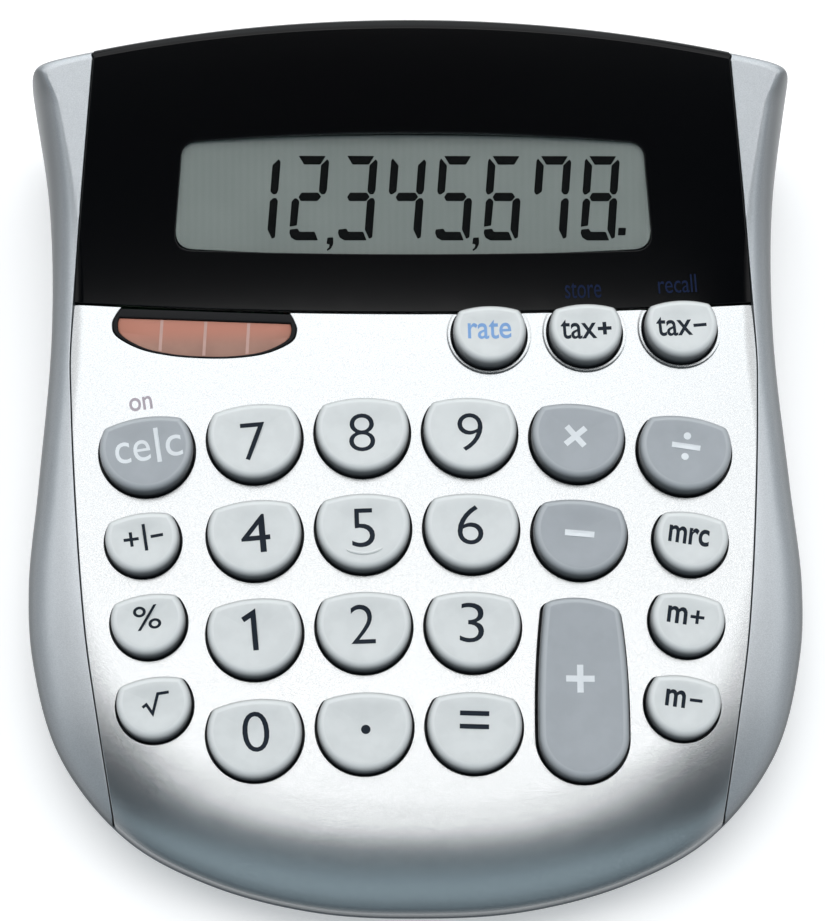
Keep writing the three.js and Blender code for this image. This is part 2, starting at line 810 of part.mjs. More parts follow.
// Floor, posts and battery compartment
const hatchBottom = floorHeight;
const buttonBottom = hatchBottom + hatchThickness + gap;
const hatchY = cellY - hatchLength / 2 + buttonRadius + cupWall + 2 * gap;
const hatchScrewY = hatchY - hatchLength / 2 + hatchScrewInset;
const hatchScrewSeat = hatchBottom + hatchThickness / 2;
const cupTop = buttonBottom + buttonHeight * cupShare;
const hatchPilotTop = cupTop - wall / 2;

function footSpots() {
  return [-1, 1].flatMap((side) => footShares.map(([x, y]) => {
    return new THREE.Vector2(side * x * bodyWidth, y * bodyLength);
  }));
}

function bottomCase() {
  const shell = outer(cheekFace).subtract(inner(cheekFace, wall)).subtract(aboveFloor);
  const root = floorHeight + floorWall / 2;
  const posts = screwSpots.map((spot) => {
    return solid(post(postOuterRadius, root, partingAt(spot.y) - gap / 2, spot.x, spot.y));
  });
  const bores = screwSpots.flatMap((spot) => {
    const seat = partingAt(spot.y) - screwGrip;
    return [
      solid(post(screwHeadRadius + gap, -overrun, seat, spot.x, spot.y)),
      solid(post(screwRadius + gap, -overrun, reach, spot.x, spot.y)),
    ];
  });
  const recesses = footSpots().map((spot) => {
    return solid(post(footRadius + gap, -overrun, floorHeight + footRecess, spot.x, spot.y, footSides));
  });
  const cupRadius = buttonRadius + gap + cupWall;
  const cup = solid(post(cupRadius, root, cupTop, cellX, cellY, buttonSides));
  const hatchPost = solid(post(bossRadius, root, cupTop, cellX, hatchScrewY));
  const spaceWidth = 2 * (hatchHalf + gap);
  const spaceLength = hatchLength + 2 * gap;
  const hatchSpace = solid(block(spaceWidth, spaceLength, -overrun, buttonBottom, cellX, hatchY));
  const cellSpace = solid(post(buttonRadius + gap, -overrun, reach, cellX, cellY, buttonSides));
  const hatchPilot = solid(post(screwRadius + gap, -overrun, hatchPilotTop, cellX, hatchScrewY));
  const roofTop = buttonBottom + floorWall / 2;
  const roof = block(spaceWidth + 2 * cupWall, spaceLength + 2 * cupWall, root, roofTop, cellX, hatchY);
  const body = joined([shell, ...posts, cup, hatchPost, solid(roof)]);
  return cutBy(body, [...bores, ...recesses, hatchSpace, cellSpace, hatchPilot]);
}

function batteryCover() {
  const top = hatchBottom + hatchThickness;
  const plate = solid(block(2 * hatchHalf, hatchLength, hatchBottom, top, cellX, hatchY));
  const hole = solid(post(screwRadius + gap, -overrun, overrun, cellX, hatchScrewY));
  const sink = solid(post(screwHeadRadius + gap, -overrun, hatchScrewSeat, cellX, hatchScrewY));
  return cutBy(plate, [hole, sink]);
}

// A pan-head screw standing on its head, with the seat under the head at z = 0
function screw(radius, headRadius, headHeight, length) {
  const profile = [
    [0, -headHeight], [headRadius * headFlatShare, -headHeight],
    [headRadius, -headHeight * headEdgeShare], [headRadius, 0],
    [radius, 0], [radius, length - radius], [0, length],
  ].map(([x, y]) => new THREE.Vector2(x, y));
  return new THREE.LatheGeometry(profile, roundSides).rotateX(quarter);
}

// Keypad sheet and board, drawn in the board's frame
const boardDepth = (boardBackY - boardFrontY) / Math.cos(boardSlope);

function boardOutline(margin, backMargin) {
  const half = boardHalf - margin;
  const front = margin - boardDepth;
  return [[-half, -backMargin], [-half, front + boardCorner], [-half + boardCorner, front],
    [half - boardCorner, front], [half, front + boardCorner], [half, -backMargin]]
    .map(([x, y]) => new THREE.Vector2(x, y));
}

function boardPlaces() {
  const back = boardFrame.clone().invert();
  return boardScrewFrames.map((frame) => {
    return new THREE.Vector3().setFromMatrixPosition(frame).applyMatrix4(back);
  });
}

// Room for the case's posts and bosses at the edge of the board
function postClearances() {
  return screwSpots.filter((spot) => spot.y < creaseY).map((spot) => {
    const y = (spot.y - boardBackY) / Math.cos(boardSlope);
    return solid(post(postOuterRadius + 2 * gap, -reach, reach, spot.x, y));
  });
}

function rubberKeypad() {
  const top = gap + sheetThickness;
  const sheet = solid(prism(boardOutline(sheetMargin, sheetBackMargin), gap, top));
  const spots = keys.map((key) => onBoard(key.seat));
  const domes = spots.map((spot) => {
    return solid(post(domeBase, top - sheetThickness / 2, domeRise, spot.x, spot.y, domeSides, domeTop));
  });
  const holes = boardPlaces().map((spot) => {
    return solid(post(boardBossRadius + gap, -overrun, reach, spot.x, spot.y));
  });
  return cutBy(joined([sheet, ...domes]), [...holes, ...postClearances()]);
}

function circuitBoard() {
  const board = solid(prism(boardOutline(0, 0), -boardThickness, 0));
  const holes = boardPlaces().map((spot) => {
    return solid(post(boardScrewRadius + gap, -reach, reach, spot.x, spot.y));
  });
  return cutBy(board, [...holes, ...postClearances()]);
}

// Display module, drawn in the panel's frame
const lensBottom = bezelWall + gap + lensThickness;
const glassTop = -lensBottom - panelSink(glassHalf) - gap;

function profileAlongX(points, half) {
  const shape = new THREE.Shape(points.map(([y, z]) => new THREE.Vector2(y, z)));
  const geometry = new THREE.ExtrudeGeometry(shape, { depth: 2 * half, bevelEnabled: false });
  return geometry.translate(0, 0, -half).applyMatrix4(new THREE.Matrix4().makeBasis(
    new THREE.Vector3(0, 1, 0), new THREE.Vector3(0, 0, 1), new THREE.Vector3(1, 0, 0),
  ));
}

function lcdPanel() {
  const low = glassTop - 2 * glassThickness;
  return profileAlongX([
    [glassStart, low], [glassEnd, low], [glassEnd, glassTop], [glassStart + glassLedge, glassTop],
    [glassStart + glassLedge, glassTop - glassThickness], [glassStart, glassTop - glassThickness],
  ], glassHalf);
}

function lcdFrame() {
  const low = glassTop - 2 * glassThickness - gap;
  const centre = (glassStart + glassEnd) / 2;
  const span = glassEnd - glassStart + 2 * gap;
  const full = solid(block(
    2 * (glassHalf + gap + frameWall), span + 2 * frameWall, low - frameFloor, glassTop - gap, 0, centre,
  ));
  const seat = solid(block(2 * (glassHalf + gap), span, low, overrun, 0, centre));
  const openHalf = glassHalf - frameOpening;
  const opening = block(2 * openHalf, span - 2 * frameOpening, -reach, reach, 0, centre);
  const mouthLength = 2 * frameWall + frameOpening;
  const mouth = block(2 * (ribbonHalf + gap), mouthLength, low - gap, overrun, 0, glassStart);
  return cutBy(full, [seat, solid(opening), solid(mouth)]);
}

// The ribbon runs from the display's ledge down to the rear edge of the board
function lcdRibbon() {
  const back = panelFrame.clone().invert();
  const start = new THREE.Vector3(0, glassStart + glassLedge - gap, glassTop - glassThickness + gap);
  const bend = new THREE.Vector3(0, glassStart - frameWall, start.z);
  const onto = (y) => new THREE.Vector3(0, y, 2 * gap).applyMatrix4(boardFrame).applyMatrix4(back);
  const landing = onto(-gap);
  const foot = onto(2 * gap - sheetBackMargin);
  const path = [start, bend, landing, foot].map((point) => new THREE.Vector2(point.y, point.z));
  const curve = new THREE.SplineCurve(path);
  const side = (lift) => Array.from({ length: ribbonSteps + 1 }, (_, step) => {
    const point = curve.getPoint(step / ribbonSteps);
    const along = curve.getTangent(step / ribbonSteps);
    return [point.x + along.y * lift, point.y - along.x * lift];
  });
  return profileAlongX([...side(ribbonThickness), ...side(0).reverse()], ribbonHalf);
}

function solarTray() {
  const floorTop = -cellSink - cellThickness - gap;
  const walls = pocketPrism(gap, -gap, floorTop - trayFloor, -traySink);
  const space = pocketPrism(gap + trayWall, -trayBackWall, floorTop, overrun);
  const lip = pocketPrism(-trayLip, -gap, floorTop - trayFloor, -wall - 2 * gap);
  return walls.add(lip).subtract(space);
}

function solarCell() {
  return pocketPrism(2 * gap + trayWall, -trayBackWall - gap, -cellSink - cellThickness, -cellSink);
}

// Battery and its two spring contacts
function buttonCell() {
  const profile = [
    [0, 0], [buttonRadius - buttonEdge, 0], [buttonRadius, buttonEdge],
    [buttonRadius, buttonHeight - buttonEdge], [buttonRadius - 2 * buttonEdge, buttonHeight - buttonEdge],
    [buttonRadius - 2 * buttonEdge, buttonHeight], [0, buttonHeight],
  ].map(([x, y]) => new THREE.Vector2(x, y));
  const body = new THREE.LatheGeometry(profile, buttonSides).rotateX(quarter);
  return body.translate(cellX, cellY, buttonBottom);
}

function strip(points, half) {
  const lift = contactThickness;
  const top = points.map(([y, z]) => [y, z + lift]);
  return profileAlongX([...points, ...top.reverse()], half);
}

function boardUnderside(y) {
  const back = (y - boardBackY) * Math.tan(boardSlope) + boardHeight;
  return back - boardThickness / Math.cos(boardSlope) - gap;
}

function upperContact() {
  const top = buttonBottom + buttonHeight + gap;
  const run = buttonRadius;
  const rise = boardUnderside(cellY + run) - contactThickness;
  return strip([
    [cellY - run / 2, top], [cellY, top], [cellY + run / 2, top + contactThickness],
    [cellY + run, rise], [cellY + run + contactWidth, rise],
  ], contactWidth / 2).translate(cellX, 0, 0);
}

function sideContact() {
  const low = cupTop + gap;
  const top = boardUnderside(cellY) - contactThickness;
  const x = buttonRadius + gap;
  const blade = block(contactThickness, contactWidth, low, top, x + contactThickness / 2, 0);
  const tab = block(contactWidth, contactWidth, top - contactThickness, top, x + contactWidth / 2, 0);
  return solid(blade).add(solid(tab));
}

// Materials
const finish = (color, roughness, metalness = 0) => {
  return new THREE.MeshStandardMaterial({ color, roughness, metalness });
};
const finishes = {
  silver: finish(0xdde0e3, 0.32, 0.6),
  cheek: finish(0xaeb5bd, 0.4, 0.5),
  black: finish(0x0d0d0e, 0.12),
  light: finish(0xdde1e1, 0.45),
  grey: finish(0xaaaeb4, 0.4, 0.1),
  clear: finish(0xe8eeee, 0.05),
  lcd: finish(0x87918e, 0.25),
  frame: finish(0x2a2b2d, 0.6),
  solar: finish(0xa06350, 0.3),
  rubber: finish(0x4b4e52, 0.85),
  board: finish(0x2f6a3c, 0.55),
  ribbon: finish(0xb98a3e, 0.5),
  resin: finish(0x141414, 0.5),
  steel: finish(0xb9bcc0, 0.3, 1),
  brass: finish(0xc7b066, 0.3, 1),
  case: finish(0x9ba2aa, 0.5),
  foot: finish(0x1c1c1d, 0.9),
};

const calculator = new THREE.Group();

function piece(name, body, finishName, matrix) {
  const geometry = body instanceof THREE.BufferGeometry ? geometryOf(solid(body)) : geometryOf(body);
  const mesh = new THREE.Mesh(geometry, finishes[finishName].clone());
  mesh.name = name;
  if (matrix) {
    matrix.decompose(mesh.position, mesh.quaternion, mesh.scale);
  }
  calculator.add(mesh);
}

piece('bottom_case', bottomCase(), 'case');
piece('top_cover', topCover(), 'silver');
piece('display_bezel', displayBezel(), 'black');
piece('left_cheek', cheek(-1), 'cheek');
piece('right_cheek', cheek(1), 'cheek');
piece('display_window', displayWindow(), 'clear');
piece('lcd_panel', lcdPanel(), 'lcd', panelFrame);
piece('lcd_frame', lcdFrame(), 'frame', panelFrame);
piece('lcd_ribbon', lcdRibbon(), 'ribbon', panelFrame);
piece('solar_tray', solarTray(), 'frame');
piece('solar_cell', solarCell(), 'solar');
piece('rubber_keypad', rubberKeypad(), 'rubber', boardFrame);
piece('circuit_board', circuitBoard(), 'board', boardFrame);
keys.forEach((key) => {
  piece(key.name, keyCap(key.points, coverSink(key), onBoard(key.seat).depth), key.tone, key.seat);
});

const blobProfile = blobShares.map(([x, y]) => new THREE.Vector2(x * blobRadius, -y * blobHeight));
const blob = new THREE.LatheGeometry(blobProfile, buttonSides).rotateX(quarter);
const blobPlace = [blobX, blobY - boardBackY, -boardThickness - gap];
piece('chip_blob', blob.translate(...blobPlace), 'resin', boardFrame);

piece('button_cell', buttonCell(), 'steel');
piece('battery_contact_upper', upperContact(), 'brass');
piece('battery_contact_side', sideContact().translate([cellX, cellY, 0]), 'brass');
piece('battery_cover', batteryCover(), 'case');

const caseScrew = screw(screwRadius, screwHeadRadius, screwHeadHeight, screwGrip + screwBite);
screwSpots.forEach((spot, index) => {
  const matrix = new THREE.Matrix4().makeTranslation(spot.x, spot.y, partingAt(spot.y) - screwGrip - gap);
  piece(`case_screw_${index + 1}`, caseScrew, 'steel', matrix);
});
const boardScrewLength = boardThickness + gap + boardScrewBite;
const boardScrew = screw(boardScrewRadius, boardScrewHead, boardScrewHeadHeight, boardScrewLength);
boardScrewFrames.forEach((frame, index) => {
  const matrix = frame.clone().multiply(new THREE.Matrix4().makeTranslation(0, 0, -boardThickness - gap));
  piece(`board_screw_${index + 1}`, boardScrew, 'steel', matrix);
});
const hatchScrewLength = hatchPilotTop - hatchScrewSeat;
const hatchScrew = screw(screwRadius, screwHeadRadius, hatchThickness / 2 - gap, hatchScrewLength);
const hatchScrewPlace = new THREE.Matrix4().makeTranslation(cellX, hatchScrewY, hatchScrewSeat - gap);
piece('battery_cover_screw', hatchScrew, 'steel', hatchScrewPlace);

footSpots().forEach((spot, index) => {
  piece(`foot_${index + 1}`, post(footRadius, 0, footHeight, spot.x, spot.y, footSides), 'foot');
});

export default calculator;
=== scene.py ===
import math

import bmesh
import bpy
import numpy as np
from mathutils import Matrix, Vector
from mathutils.geometry import delaunay_2d_cdt


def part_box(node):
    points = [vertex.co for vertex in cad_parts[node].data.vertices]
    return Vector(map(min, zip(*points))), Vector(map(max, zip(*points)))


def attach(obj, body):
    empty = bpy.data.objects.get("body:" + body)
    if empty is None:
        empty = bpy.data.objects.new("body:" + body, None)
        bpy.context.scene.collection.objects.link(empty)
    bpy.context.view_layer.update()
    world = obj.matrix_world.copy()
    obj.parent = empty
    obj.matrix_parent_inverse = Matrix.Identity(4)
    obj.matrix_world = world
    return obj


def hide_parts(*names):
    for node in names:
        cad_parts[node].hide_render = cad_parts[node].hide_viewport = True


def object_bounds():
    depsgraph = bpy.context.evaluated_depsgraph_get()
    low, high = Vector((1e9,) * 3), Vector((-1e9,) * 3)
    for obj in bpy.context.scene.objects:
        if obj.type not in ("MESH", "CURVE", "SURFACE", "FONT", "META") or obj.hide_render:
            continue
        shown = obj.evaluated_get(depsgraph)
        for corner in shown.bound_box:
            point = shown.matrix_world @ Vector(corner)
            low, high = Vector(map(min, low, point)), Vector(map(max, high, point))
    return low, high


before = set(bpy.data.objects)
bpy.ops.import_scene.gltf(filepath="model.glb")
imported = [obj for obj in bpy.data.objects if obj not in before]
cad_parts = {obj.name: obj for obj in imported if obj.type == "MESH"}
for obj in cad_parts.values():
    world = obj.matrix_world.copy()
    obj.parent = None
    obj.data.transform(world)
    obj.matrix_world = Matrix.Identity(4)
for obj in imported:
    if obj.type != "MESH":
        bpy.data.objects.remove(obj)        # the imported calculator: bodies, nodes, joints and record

cadBox = [list(corner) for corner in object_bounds()]
mm = 0.001
print("frame loaded:", len(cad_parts), "nodes")

# Shapes are worked out in millimetres, with x to the right, y to the back and z up
housing = {
    "length": 146, "width": 125.4, "backRadius": 306, "cornerRadius": 3.4, "hubShare": 0.096,
    "outlineShares": [
        [0, -1], [0.263, -0.986], [0.523, -0.926], [0.734, -0.825], [0.902, -0.643], [0.974, -0.43],
        [0.987, -0.26], [0.966, -0.03], [0.938, 0.32], [0.948, 0.62], [0.996, 0.9],
    ],
    "partingHeight": 12.497, "partingSlope": 5.4, "partingGap": 0.3,
    "edgeFront": 17, "edgeSide": 5.5, "edgeBack": 3.2, "powerFront": 2, "powerBack": 3,
    "wideFrom": 10, "wideToShare": -0.425, "backFromShare": 0.425, "backToShare": 0.466,
    "seamShares": [
        [0.361, -0.5], [0.4005, -0.303], [0.423, -0.164], [0.44, 0.055], [0.4395, 0.185], [0.4095, 0.514],
    ],
    "seamGap": 0.14, "wall": 1.8, "caseWall": 2, "lip": 0.16, "overrun": 4,
    "floorHeight": 1.4, "hullInset": 6.5, "outlineSteps": 60, "backSteps": 200,
}
faces = {
    "creaseShare": 0.1675, "creaseHeight": 20.997, "creaseRadius": 607, "keySlope": 2.5, "keyRadius": 700,
    "crownRadius": 900, "panelSlope": 16, "riseBefore": 9.45, "riseAfter": 17.55,
}
hubY = housing["hubShare"] * housing["length"]
creaseY = faces["creaseShare"] * housing["length"]


def slope(degrees):
    return math.tan(math.radians(degrees))


def smooth(value, low, high):
    share = np.clip((value - low) / (high - low), 0, 1)
    return share * share * (3 - 2 * share)


def mixed(first, second, share):
    return first + (second - first) * share


# Vectors made one long
def unit(vectors):
    return vectors / np.maximum(np.linalg.norm(vectors, axis=-1, keepdims=True), 1e-9)


def turning(angle):
    c, s = math.cos(angle), math.sin(angle)
    return np.array([[c, s], [-s, c]])


# Flat points, all at one height
def atHeight(points, height):
    return np.column_stack([points, np.full(len(points), float(height))])


# Places in the plan from an angle and a distance, counted from the front tip round the hub
def fromHub(angle, distance):
    return np.column_stack([distance * np.sin(angle), hubY - distance * np.cos(angle)])


# The three faces, as heights over the plan
def creaseLine(x):
    return creaseY + x * x / (2 * faces["creaseRadius"])


def keyFace(x, y):
    run = creaseY - y
    fall = run * slope(faces["keySlope"]) + run * run / (2 * faces["keyRadius"])
    return faces["creaseHeight"] - fall - x * x / (2 * faces["crownRadius"])


def displayFace(x, y):
    edge = creaseLine(x)
    return keyFace(x, edge) + (y - edge) * slope(faces["panelSlope"])


def cheekFace(x, y):
    start = creaseY - faces["riseBefore"]
    length = faces["riseBefore"] + faces["riseAfter"]
    startSlope = slope(faces["keySlope"]) + (creaseY - start) / faces["keyRadius"]
    endSlope = slope(faces["panelSlope"])
    ramp = np.clip(y - start, 0, length)
    rise = startSlope * ramp + (endSlope - startSlope) * ramp * ramp / (2 * length)
    beyond = np.clip(y - start - length, 0, None) * endSlope
    return keyFace(x, np.minimum(y, start)) + rise + beyond


# The underside, which the lower case rounds up from to the parting
def floorFace(x, y):
    return np.full(np.shape(x), float(housing["floorHeight"]))


def partingAt(y):
    return housing["partingHeight"] + y * slope(housing["partingSlope"])


# A curve through points, as three.js draws it: even when uniform, otherwise centripetal
def throughPoints(points, perSpan, uniform=False):
    points = np.array(points, dtype=float)
    if uniform:
        first, last = points[0], points[-1]
    else:
        first, last = 2 * points[0] - points[1], 2 * points[-1] - points[-2]
    ends = np.vstack([first, points, last])
    result = []
    for index in range(len(points) - 1):
        a, b, c, d = ends[index:index + 4]
        if uniform:
            leave, arrive = (c - a) / 2, (d - b) / 2
        else:
            before, along, after = [math.sqrt(np.linalg.norm(q - p)) for p, q in ((a, b), (b, c), (c, d))]
            leave = ((b - a) / before - (c - a) / (before + along) + (c - b) / along) * along
            arrive = ((c - b) / along - (d - b) / (along + after) + (d - c) / after) * along
        for step in range(perSpan):
            t = step / perSpan
            result.append(
                b * (1 + 2 * t) * (1 - t) ** 2 + leave * t * (1 - t) ** 2
                + c * t * t * (3 - 2 * t) - arrive * t * t * (1 - t)
            )
    return np.array(result + [points[-1]])


def bezier(start, bend, end, steps):
    share = np.linspace(0, 1, steps + 1)[:, None]
    start, bend, end = (np.array(point, dtype=float) for point in (start, bend, end))
    return start * (1 - share) ** 2 + 2 * bend * share * (1 - share) + end * share ** 2


def backEdge(x):
    return housing["length"] / 2 - x * x / (2 * housing["backRadius"])


# The housing's outline, as a distance from the hub for each angle from the front tip
def housingRim():
    half = np.array([housing["width"] / 2, housing["length"] / 2])
    right = np.array(housing["outlineShares"]) * half
    left = right[:0:-1] * [-1, 1]
    steps = housing["outlineSteps"]
    side = throughPoints(np.vstack([left, right]), steps)[steps * len(left):]
    endX = side[-1][0]
    turnX = endX - housing["cornerRadius"]
    bend = [(endX + half[0]) / 2, backEdge(endX)]
    corner = bezier(side[-1], bend, [turnX, backEdge(turnX)], steps)
    backX = np.linspace(turnX, 0, housing["backSteps"])
    back = np.column_stack([backX, backEdge(backX)])
    rim = np.vstack([side, corner[1:], back[1:]])
    rim[:, 0] *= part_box("bottom_case")[1][0] / mm / rim[:, 0].max()
    away = rim - [0, hubY]
    return np.arctan2(away[:, 0], -away[:, 1]), np.hypot(away[:, 0], away[:, 1])


rimAngles, rimDistances = housingRim()


def rimDistance(angle):
    return np.interp(np.abs(angle), rimAngles, rimDistances)


# Width and fullness of the rounded edge along the ray at an angle from the hub
def edgeAt(face, angle):
    if face is floorFace:
        return np.full(np.shape(angle), housing["hullInset"]), housing["powerFront"]
    length = housing["length"]
    y = hubY - rimDistance(angle) * np.cos(angle)
    front = smooth(housing["wideFrom"] - y, 0, housing["wideFrom"] - housing["wideToShare"] * length)
    back = smooth(y, housing["backFromShare"] * length, housing["backToShare"] * length)
    width = mixed(mixed(housing["edgeSide"], housing["edgeFront"], front), housing["edgeBack"], back)
    return width, mixed(housing["powerFront"], housing["powerBack"], back)


def polar(x, y):
    return np.arctan2(x, hubY - y), np.hypot(x, y - hubY)


def inwardShare(face, x, y):
    angle, distance = polar(x, y)
    width, power = edgeAt(face, angle)
    return (rimDistance(angle) - distance) / width, power


def heightAt(face, x, y):
    inward, power = inwardShare(face, x, y)
    base = partingAt(y)
    fullness = (1 - (1 - np.clip(inward, 0, 1)) ** power) ** (1 / power)
    return base + (face(x, y) - base) * fullness - wellAt(face, x, y)


# The normal is the gradient of the rounded surface's own equation, so it holds at the rim too
def normalAt(face, x, y, z):
    def level(x, y, z):
        inward, power = inwardShare(face, x, y)
        base = partingAt(y)
        height = (z + wellAt(face, x, y) - base) / (face(x, y) - base)
        return np.sign(height) * np.abs(height) ** power + np.clip(1 - inward, 0, None) ** power

    step = 0.02
    return unit(np.column_stack([
        level(x + step, y, z) - level(x - step, y, z),
        level(x, y + step, z) - level(x, y - step, z),
        level(x, y, z + step) - level(x, y, z - step),
    ]))


# A flat map of the housing where the rounded edge is laid out, to draw triangles in
def flattened(face, points):
    x, y = np.array(points, dtype=float).T
    angle, distance = polar(x, y)
    width, power = edgeAt(face, angle)
    inward = (rimDistance(angle) - distance) / width
    inside = np.arccos(np.clip(1 - inward, 0, 1) ** (power / 2)) * 2 / math.pi
    share = np.where(inward < 0, inward, inside)
    flat = np.where(inward < 1, rimDistance(angle) - width * share, distance)
    return fromHub(angle, flat)


def unflattened(face, points):
    x, y = np.array(points, dtype=float).T
    angle, flat = polar(x, y)
    width, power = edgeAt(face, angle)
    share = (rimDistance(angle) - flat) / width
    inward = 1 - np.cos(np.clip(share, 0, 1) * math.pi / 2) ** (2 / power)
    distance = np.where(share < 1, rimDistance(angle) - width * inward, flat)
    return fromHub(angle, distance).T


# Which points of the flat map lie inside a closed outline
def within(points, outline):
    inside = np.zeros(len(points), dtype=bool)
    x, y = points.T
    for (ax, ay), (bx, by) in zip(outline, np.roll(outline, -1, axis=0)):
        if ay != by:
            crosses = (ay > y) != (by > y)
            inside ^= crosses & (x < ax + (y - ay) * (bx - ax) / (by - ay))
    return inside


# Points that carry the rounded edge's own curve, ring by ring, and a grid over the rest
meshing = {
    "rimStep": 1.5, "rimTurn": 6, "edgeRings": 11, "grid": 2.6, "gridFromShare": 1.1, "filletSteps": 4,
    "mitreLimit": 0.6, "merge": 0.002, "fineMerge": 1e-4, "middleShare": 0.05,
}


# Angles round the rim, closer together where it turns
def rimSteps():
    along = np.diff(fromHub(rimAngles, rimDistances), axis=0)
    heading = np.unwrap(np.arctan2(along[:, 1], along[:, 0]))
    turned = np.abs(np.diff(heading, prepend=heading[0]))
    measure = np.hypot(*along.T) / meshing["rimStep"] + turned / math.radians(meshing["rimTurn"])
    measure = np.concatenate([[0], np.cumsum(measure)])
    right = np.interp(np.linspace(0, measure[-1], int(measure[-1]) + 1), measure, rimAngles)
    return np.concatenate([right, -right[-2:0:-1]])


def edgePoints(face):
    angle = rimSteps()
    width, power = edgeAt(face, angle)
    rim = rimDistance(angle)
    rimX, rimY = fromHub(angle, rim).T
    lift = housing["partingGap"] / 2 + housing["lip"]
    rise = np.maximum(np.abs(face(rimX, rimY) - partingAt(rimY)), 2 * lift)
    lowest = np.arcsin((lift / rise) ** (power / 2)) * 2 / math.pi
    rings = []
    for ring in range(meshing["edgeRings"]):
        share = mixed(lowest, 1, ring / (meshing["edgeRings"] - 1))
        rings.append(fromHub(angle, rim - width * share))
    return rings


def gridPoints(face):
    reach = housing["length"] / 2
    places = np.arange(-reach, reach, meshing["grid"])
    x, y = (axis.ravel() for axis in np.meshgrid(places, places))
    inward, _ = inwardShare(face, x, y)
    return np.column_stack([x, y])[inward > meshing["gridFromShare"]]


# Closed outlines as one list of points and the edges between them
def outlineEdges(outlines):
    points, edges = [], []
    for outline in outlines:
        start, count = len(points), len(outline)
        points += list(outline)
        edges += [(start + step, start + (step + 1) % count) for step in range(count)]
    return points, edges


# Triangles between points in a plane, turned to face up, where the test of their middles holds
def triangulated(points, edges, merge, isKept):
    vectors = [Vector(point) for point in points]
    places, _, triangles, *_ = delaunay_2d_cdt(vectors, edges, [], 0, merge)
    places = np.array([tuple(place) for place in places])
    triangles = np.array([triangle[:3] for triangle in triangles])
    triangles = triangles[isKept(places[triangles].mean(axis=1))]
    used, triangles = np.unique(triangles, return_inverse=True)
    places, triangles = places[used], triangles.reshape(-1, 3)
    first, second = (places[triangles[:, side]] - places[triangles[:, 0]] for side in (1, 2))
    turned = first[:, 0] * second[:, 1] - first[:, 1] * second[:, 0] < 0
    triangles[turned] = triangles[turned][:, ::-1]
    return places, triangles


# One sheet of a rounded face, bounded by outlines in the plan; each is (outline, keep inside)
def faceSheet(face, bounds, extra=()):
    rings = edgePoints(face)
    outlines = [(flattened(face, outline), keep) for outline, keep in bounds] + [(rings[0], True)]
    points, edges = outlineEdges([outline for outline, _ in outlines] + rings[1:])
    for loose in [gridPoints(face), *[flattened(face, group) for group in extra]]:
        points += list(loose)

    def isKept(middles):
        return np.all([within(middles, outline) == keep for outline, keep in outlines], axis=0)

    places, triangles = triangulated(points, edges, meshing["merge"], isKept)
    if face is floorFace:
        triangles = triangles[:, ::-1]
    x, y = unflattened(face, places)
    z = heightAt(face, x, y)
    return np.column_stack([x, y, z]), normalAt(face, x, y, z), triangles


# Edges that only one triangle has, in that triangle's own direction
def borderEdges(triangles):
    directed = {(a, b) for tri in triangles.tolist() for a, b in zip(tri, tri[1:] + tri[:1])}
    return [(a, b) for a, b in directed if (b, a) not in directed]


# Gives a sheet its thickness, with a small round on every edge
def thickened(sheet, thickness, lip):
    points, normals, triangles = sheet
    border = borderEdges(triangles)
    ahead, behind = dict(border), {b: a for a, b in border}
    rim = sorted(ahead)
    spot = {vertex: place for place, vertex in enumerate(rim)}
    here = points[rim]
    away = []
    for start, end in ((points[[behind[v] for v in rim]], here), (here, points[[ahead[v] for v in rim]])):
        away.append(unit(np.cross(end - start, normals[rim])))
    facing = (away[0] * away[1]).sum(axis=1)[:, None]
    mitre = (away[0] + away[1]) / np.maximum(1 + facing, meshing["mitreLimit"])
    outward, up = unit(mitre), normals[rim]
    allPoints, allNormals = [points], [normals]
    for step in range(1, meshing["filletSteps"] + 1):
        angle = step / meshing["filletSteps"] * math.pi / 2
        allPoints.append(here + lip * math.sin(angle) * mitre - lip * (1 - math.cos(angle)) * up)
        allNormals.append(up * math.cos(angle) + outward * math.sin(angle))
    allPoints.append(here + lip * mitre - thickness * up)
    allNormals.append(outward)
    count, width = len(points), len(rim)
    ringStart = [count + width * ring for ring in range(meshing["filletSteps"] + 1)]
    walls = []
    for a, b in border:
        levels = [(a, b)] + [(start + spot[a], start + spot[b]) for start in ringStart]
        for (upperA, upperB), (lowerA, lowerB) in zip(levels, levels[1:]):
            walls.append([upperB, upperA, lowerA, lowerB])
    faceList, normalList = triangles.tolist() + walls, triangles.tolist() + walls
    under = count + width * len(ringStart)
    allPoints.append(points - thickness * normals)
    allNormals.append(-normals)
    for triangle in triangles.tolist():
        faceList.append([ringStart[-1] + spot[v] if v in spot else under + v for v in reversed(triangle)])
        normalList.append([under + v for v in reversed(triangle)])
    return np.vstack(allPoints), np.vstack(allNormals), faceList, normalList


def addObject(name, data):
    added = bpy.data.objects.new(name, data)
    bpy.context.scene.collection.objects.link(added)
    return added


# A piece rides on a body, may replace a node of the CAD, and has its slot's finish or one of its own
def addPiece(name, mesh, node, slot, finish=None, body="housing"):
    piece = addObject(name, mesh)
    mesh.materials.append(materials[finish or slotFinishes[slot]])
    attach(piece, body)
    if node:
        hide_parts(node)


def cleanMesh(name, points, faceList):
    mesh = bpy.data.meshes.new(name)
    mesh.from_pydata((np.array(points) * mm).tolist(), [], [list(face) for face in faceList])
    mesh.validate()
    return mesh


# A mesh whose normals come from the formula of its surface, kept inside the CAD's own box
def formulaMesh(name, points, normals, faceList, normalList):
    mesh = bpy.data.meshes.new(name)
    mesh.from_pydata(np.clip(points * mm, *cadBox).tolist(), [], faceList)
    mesh.shade_smooth()
    mesh.normals_split_custom_set([tuple(normals[index]) for face in normalList for index in face])
    return mesh


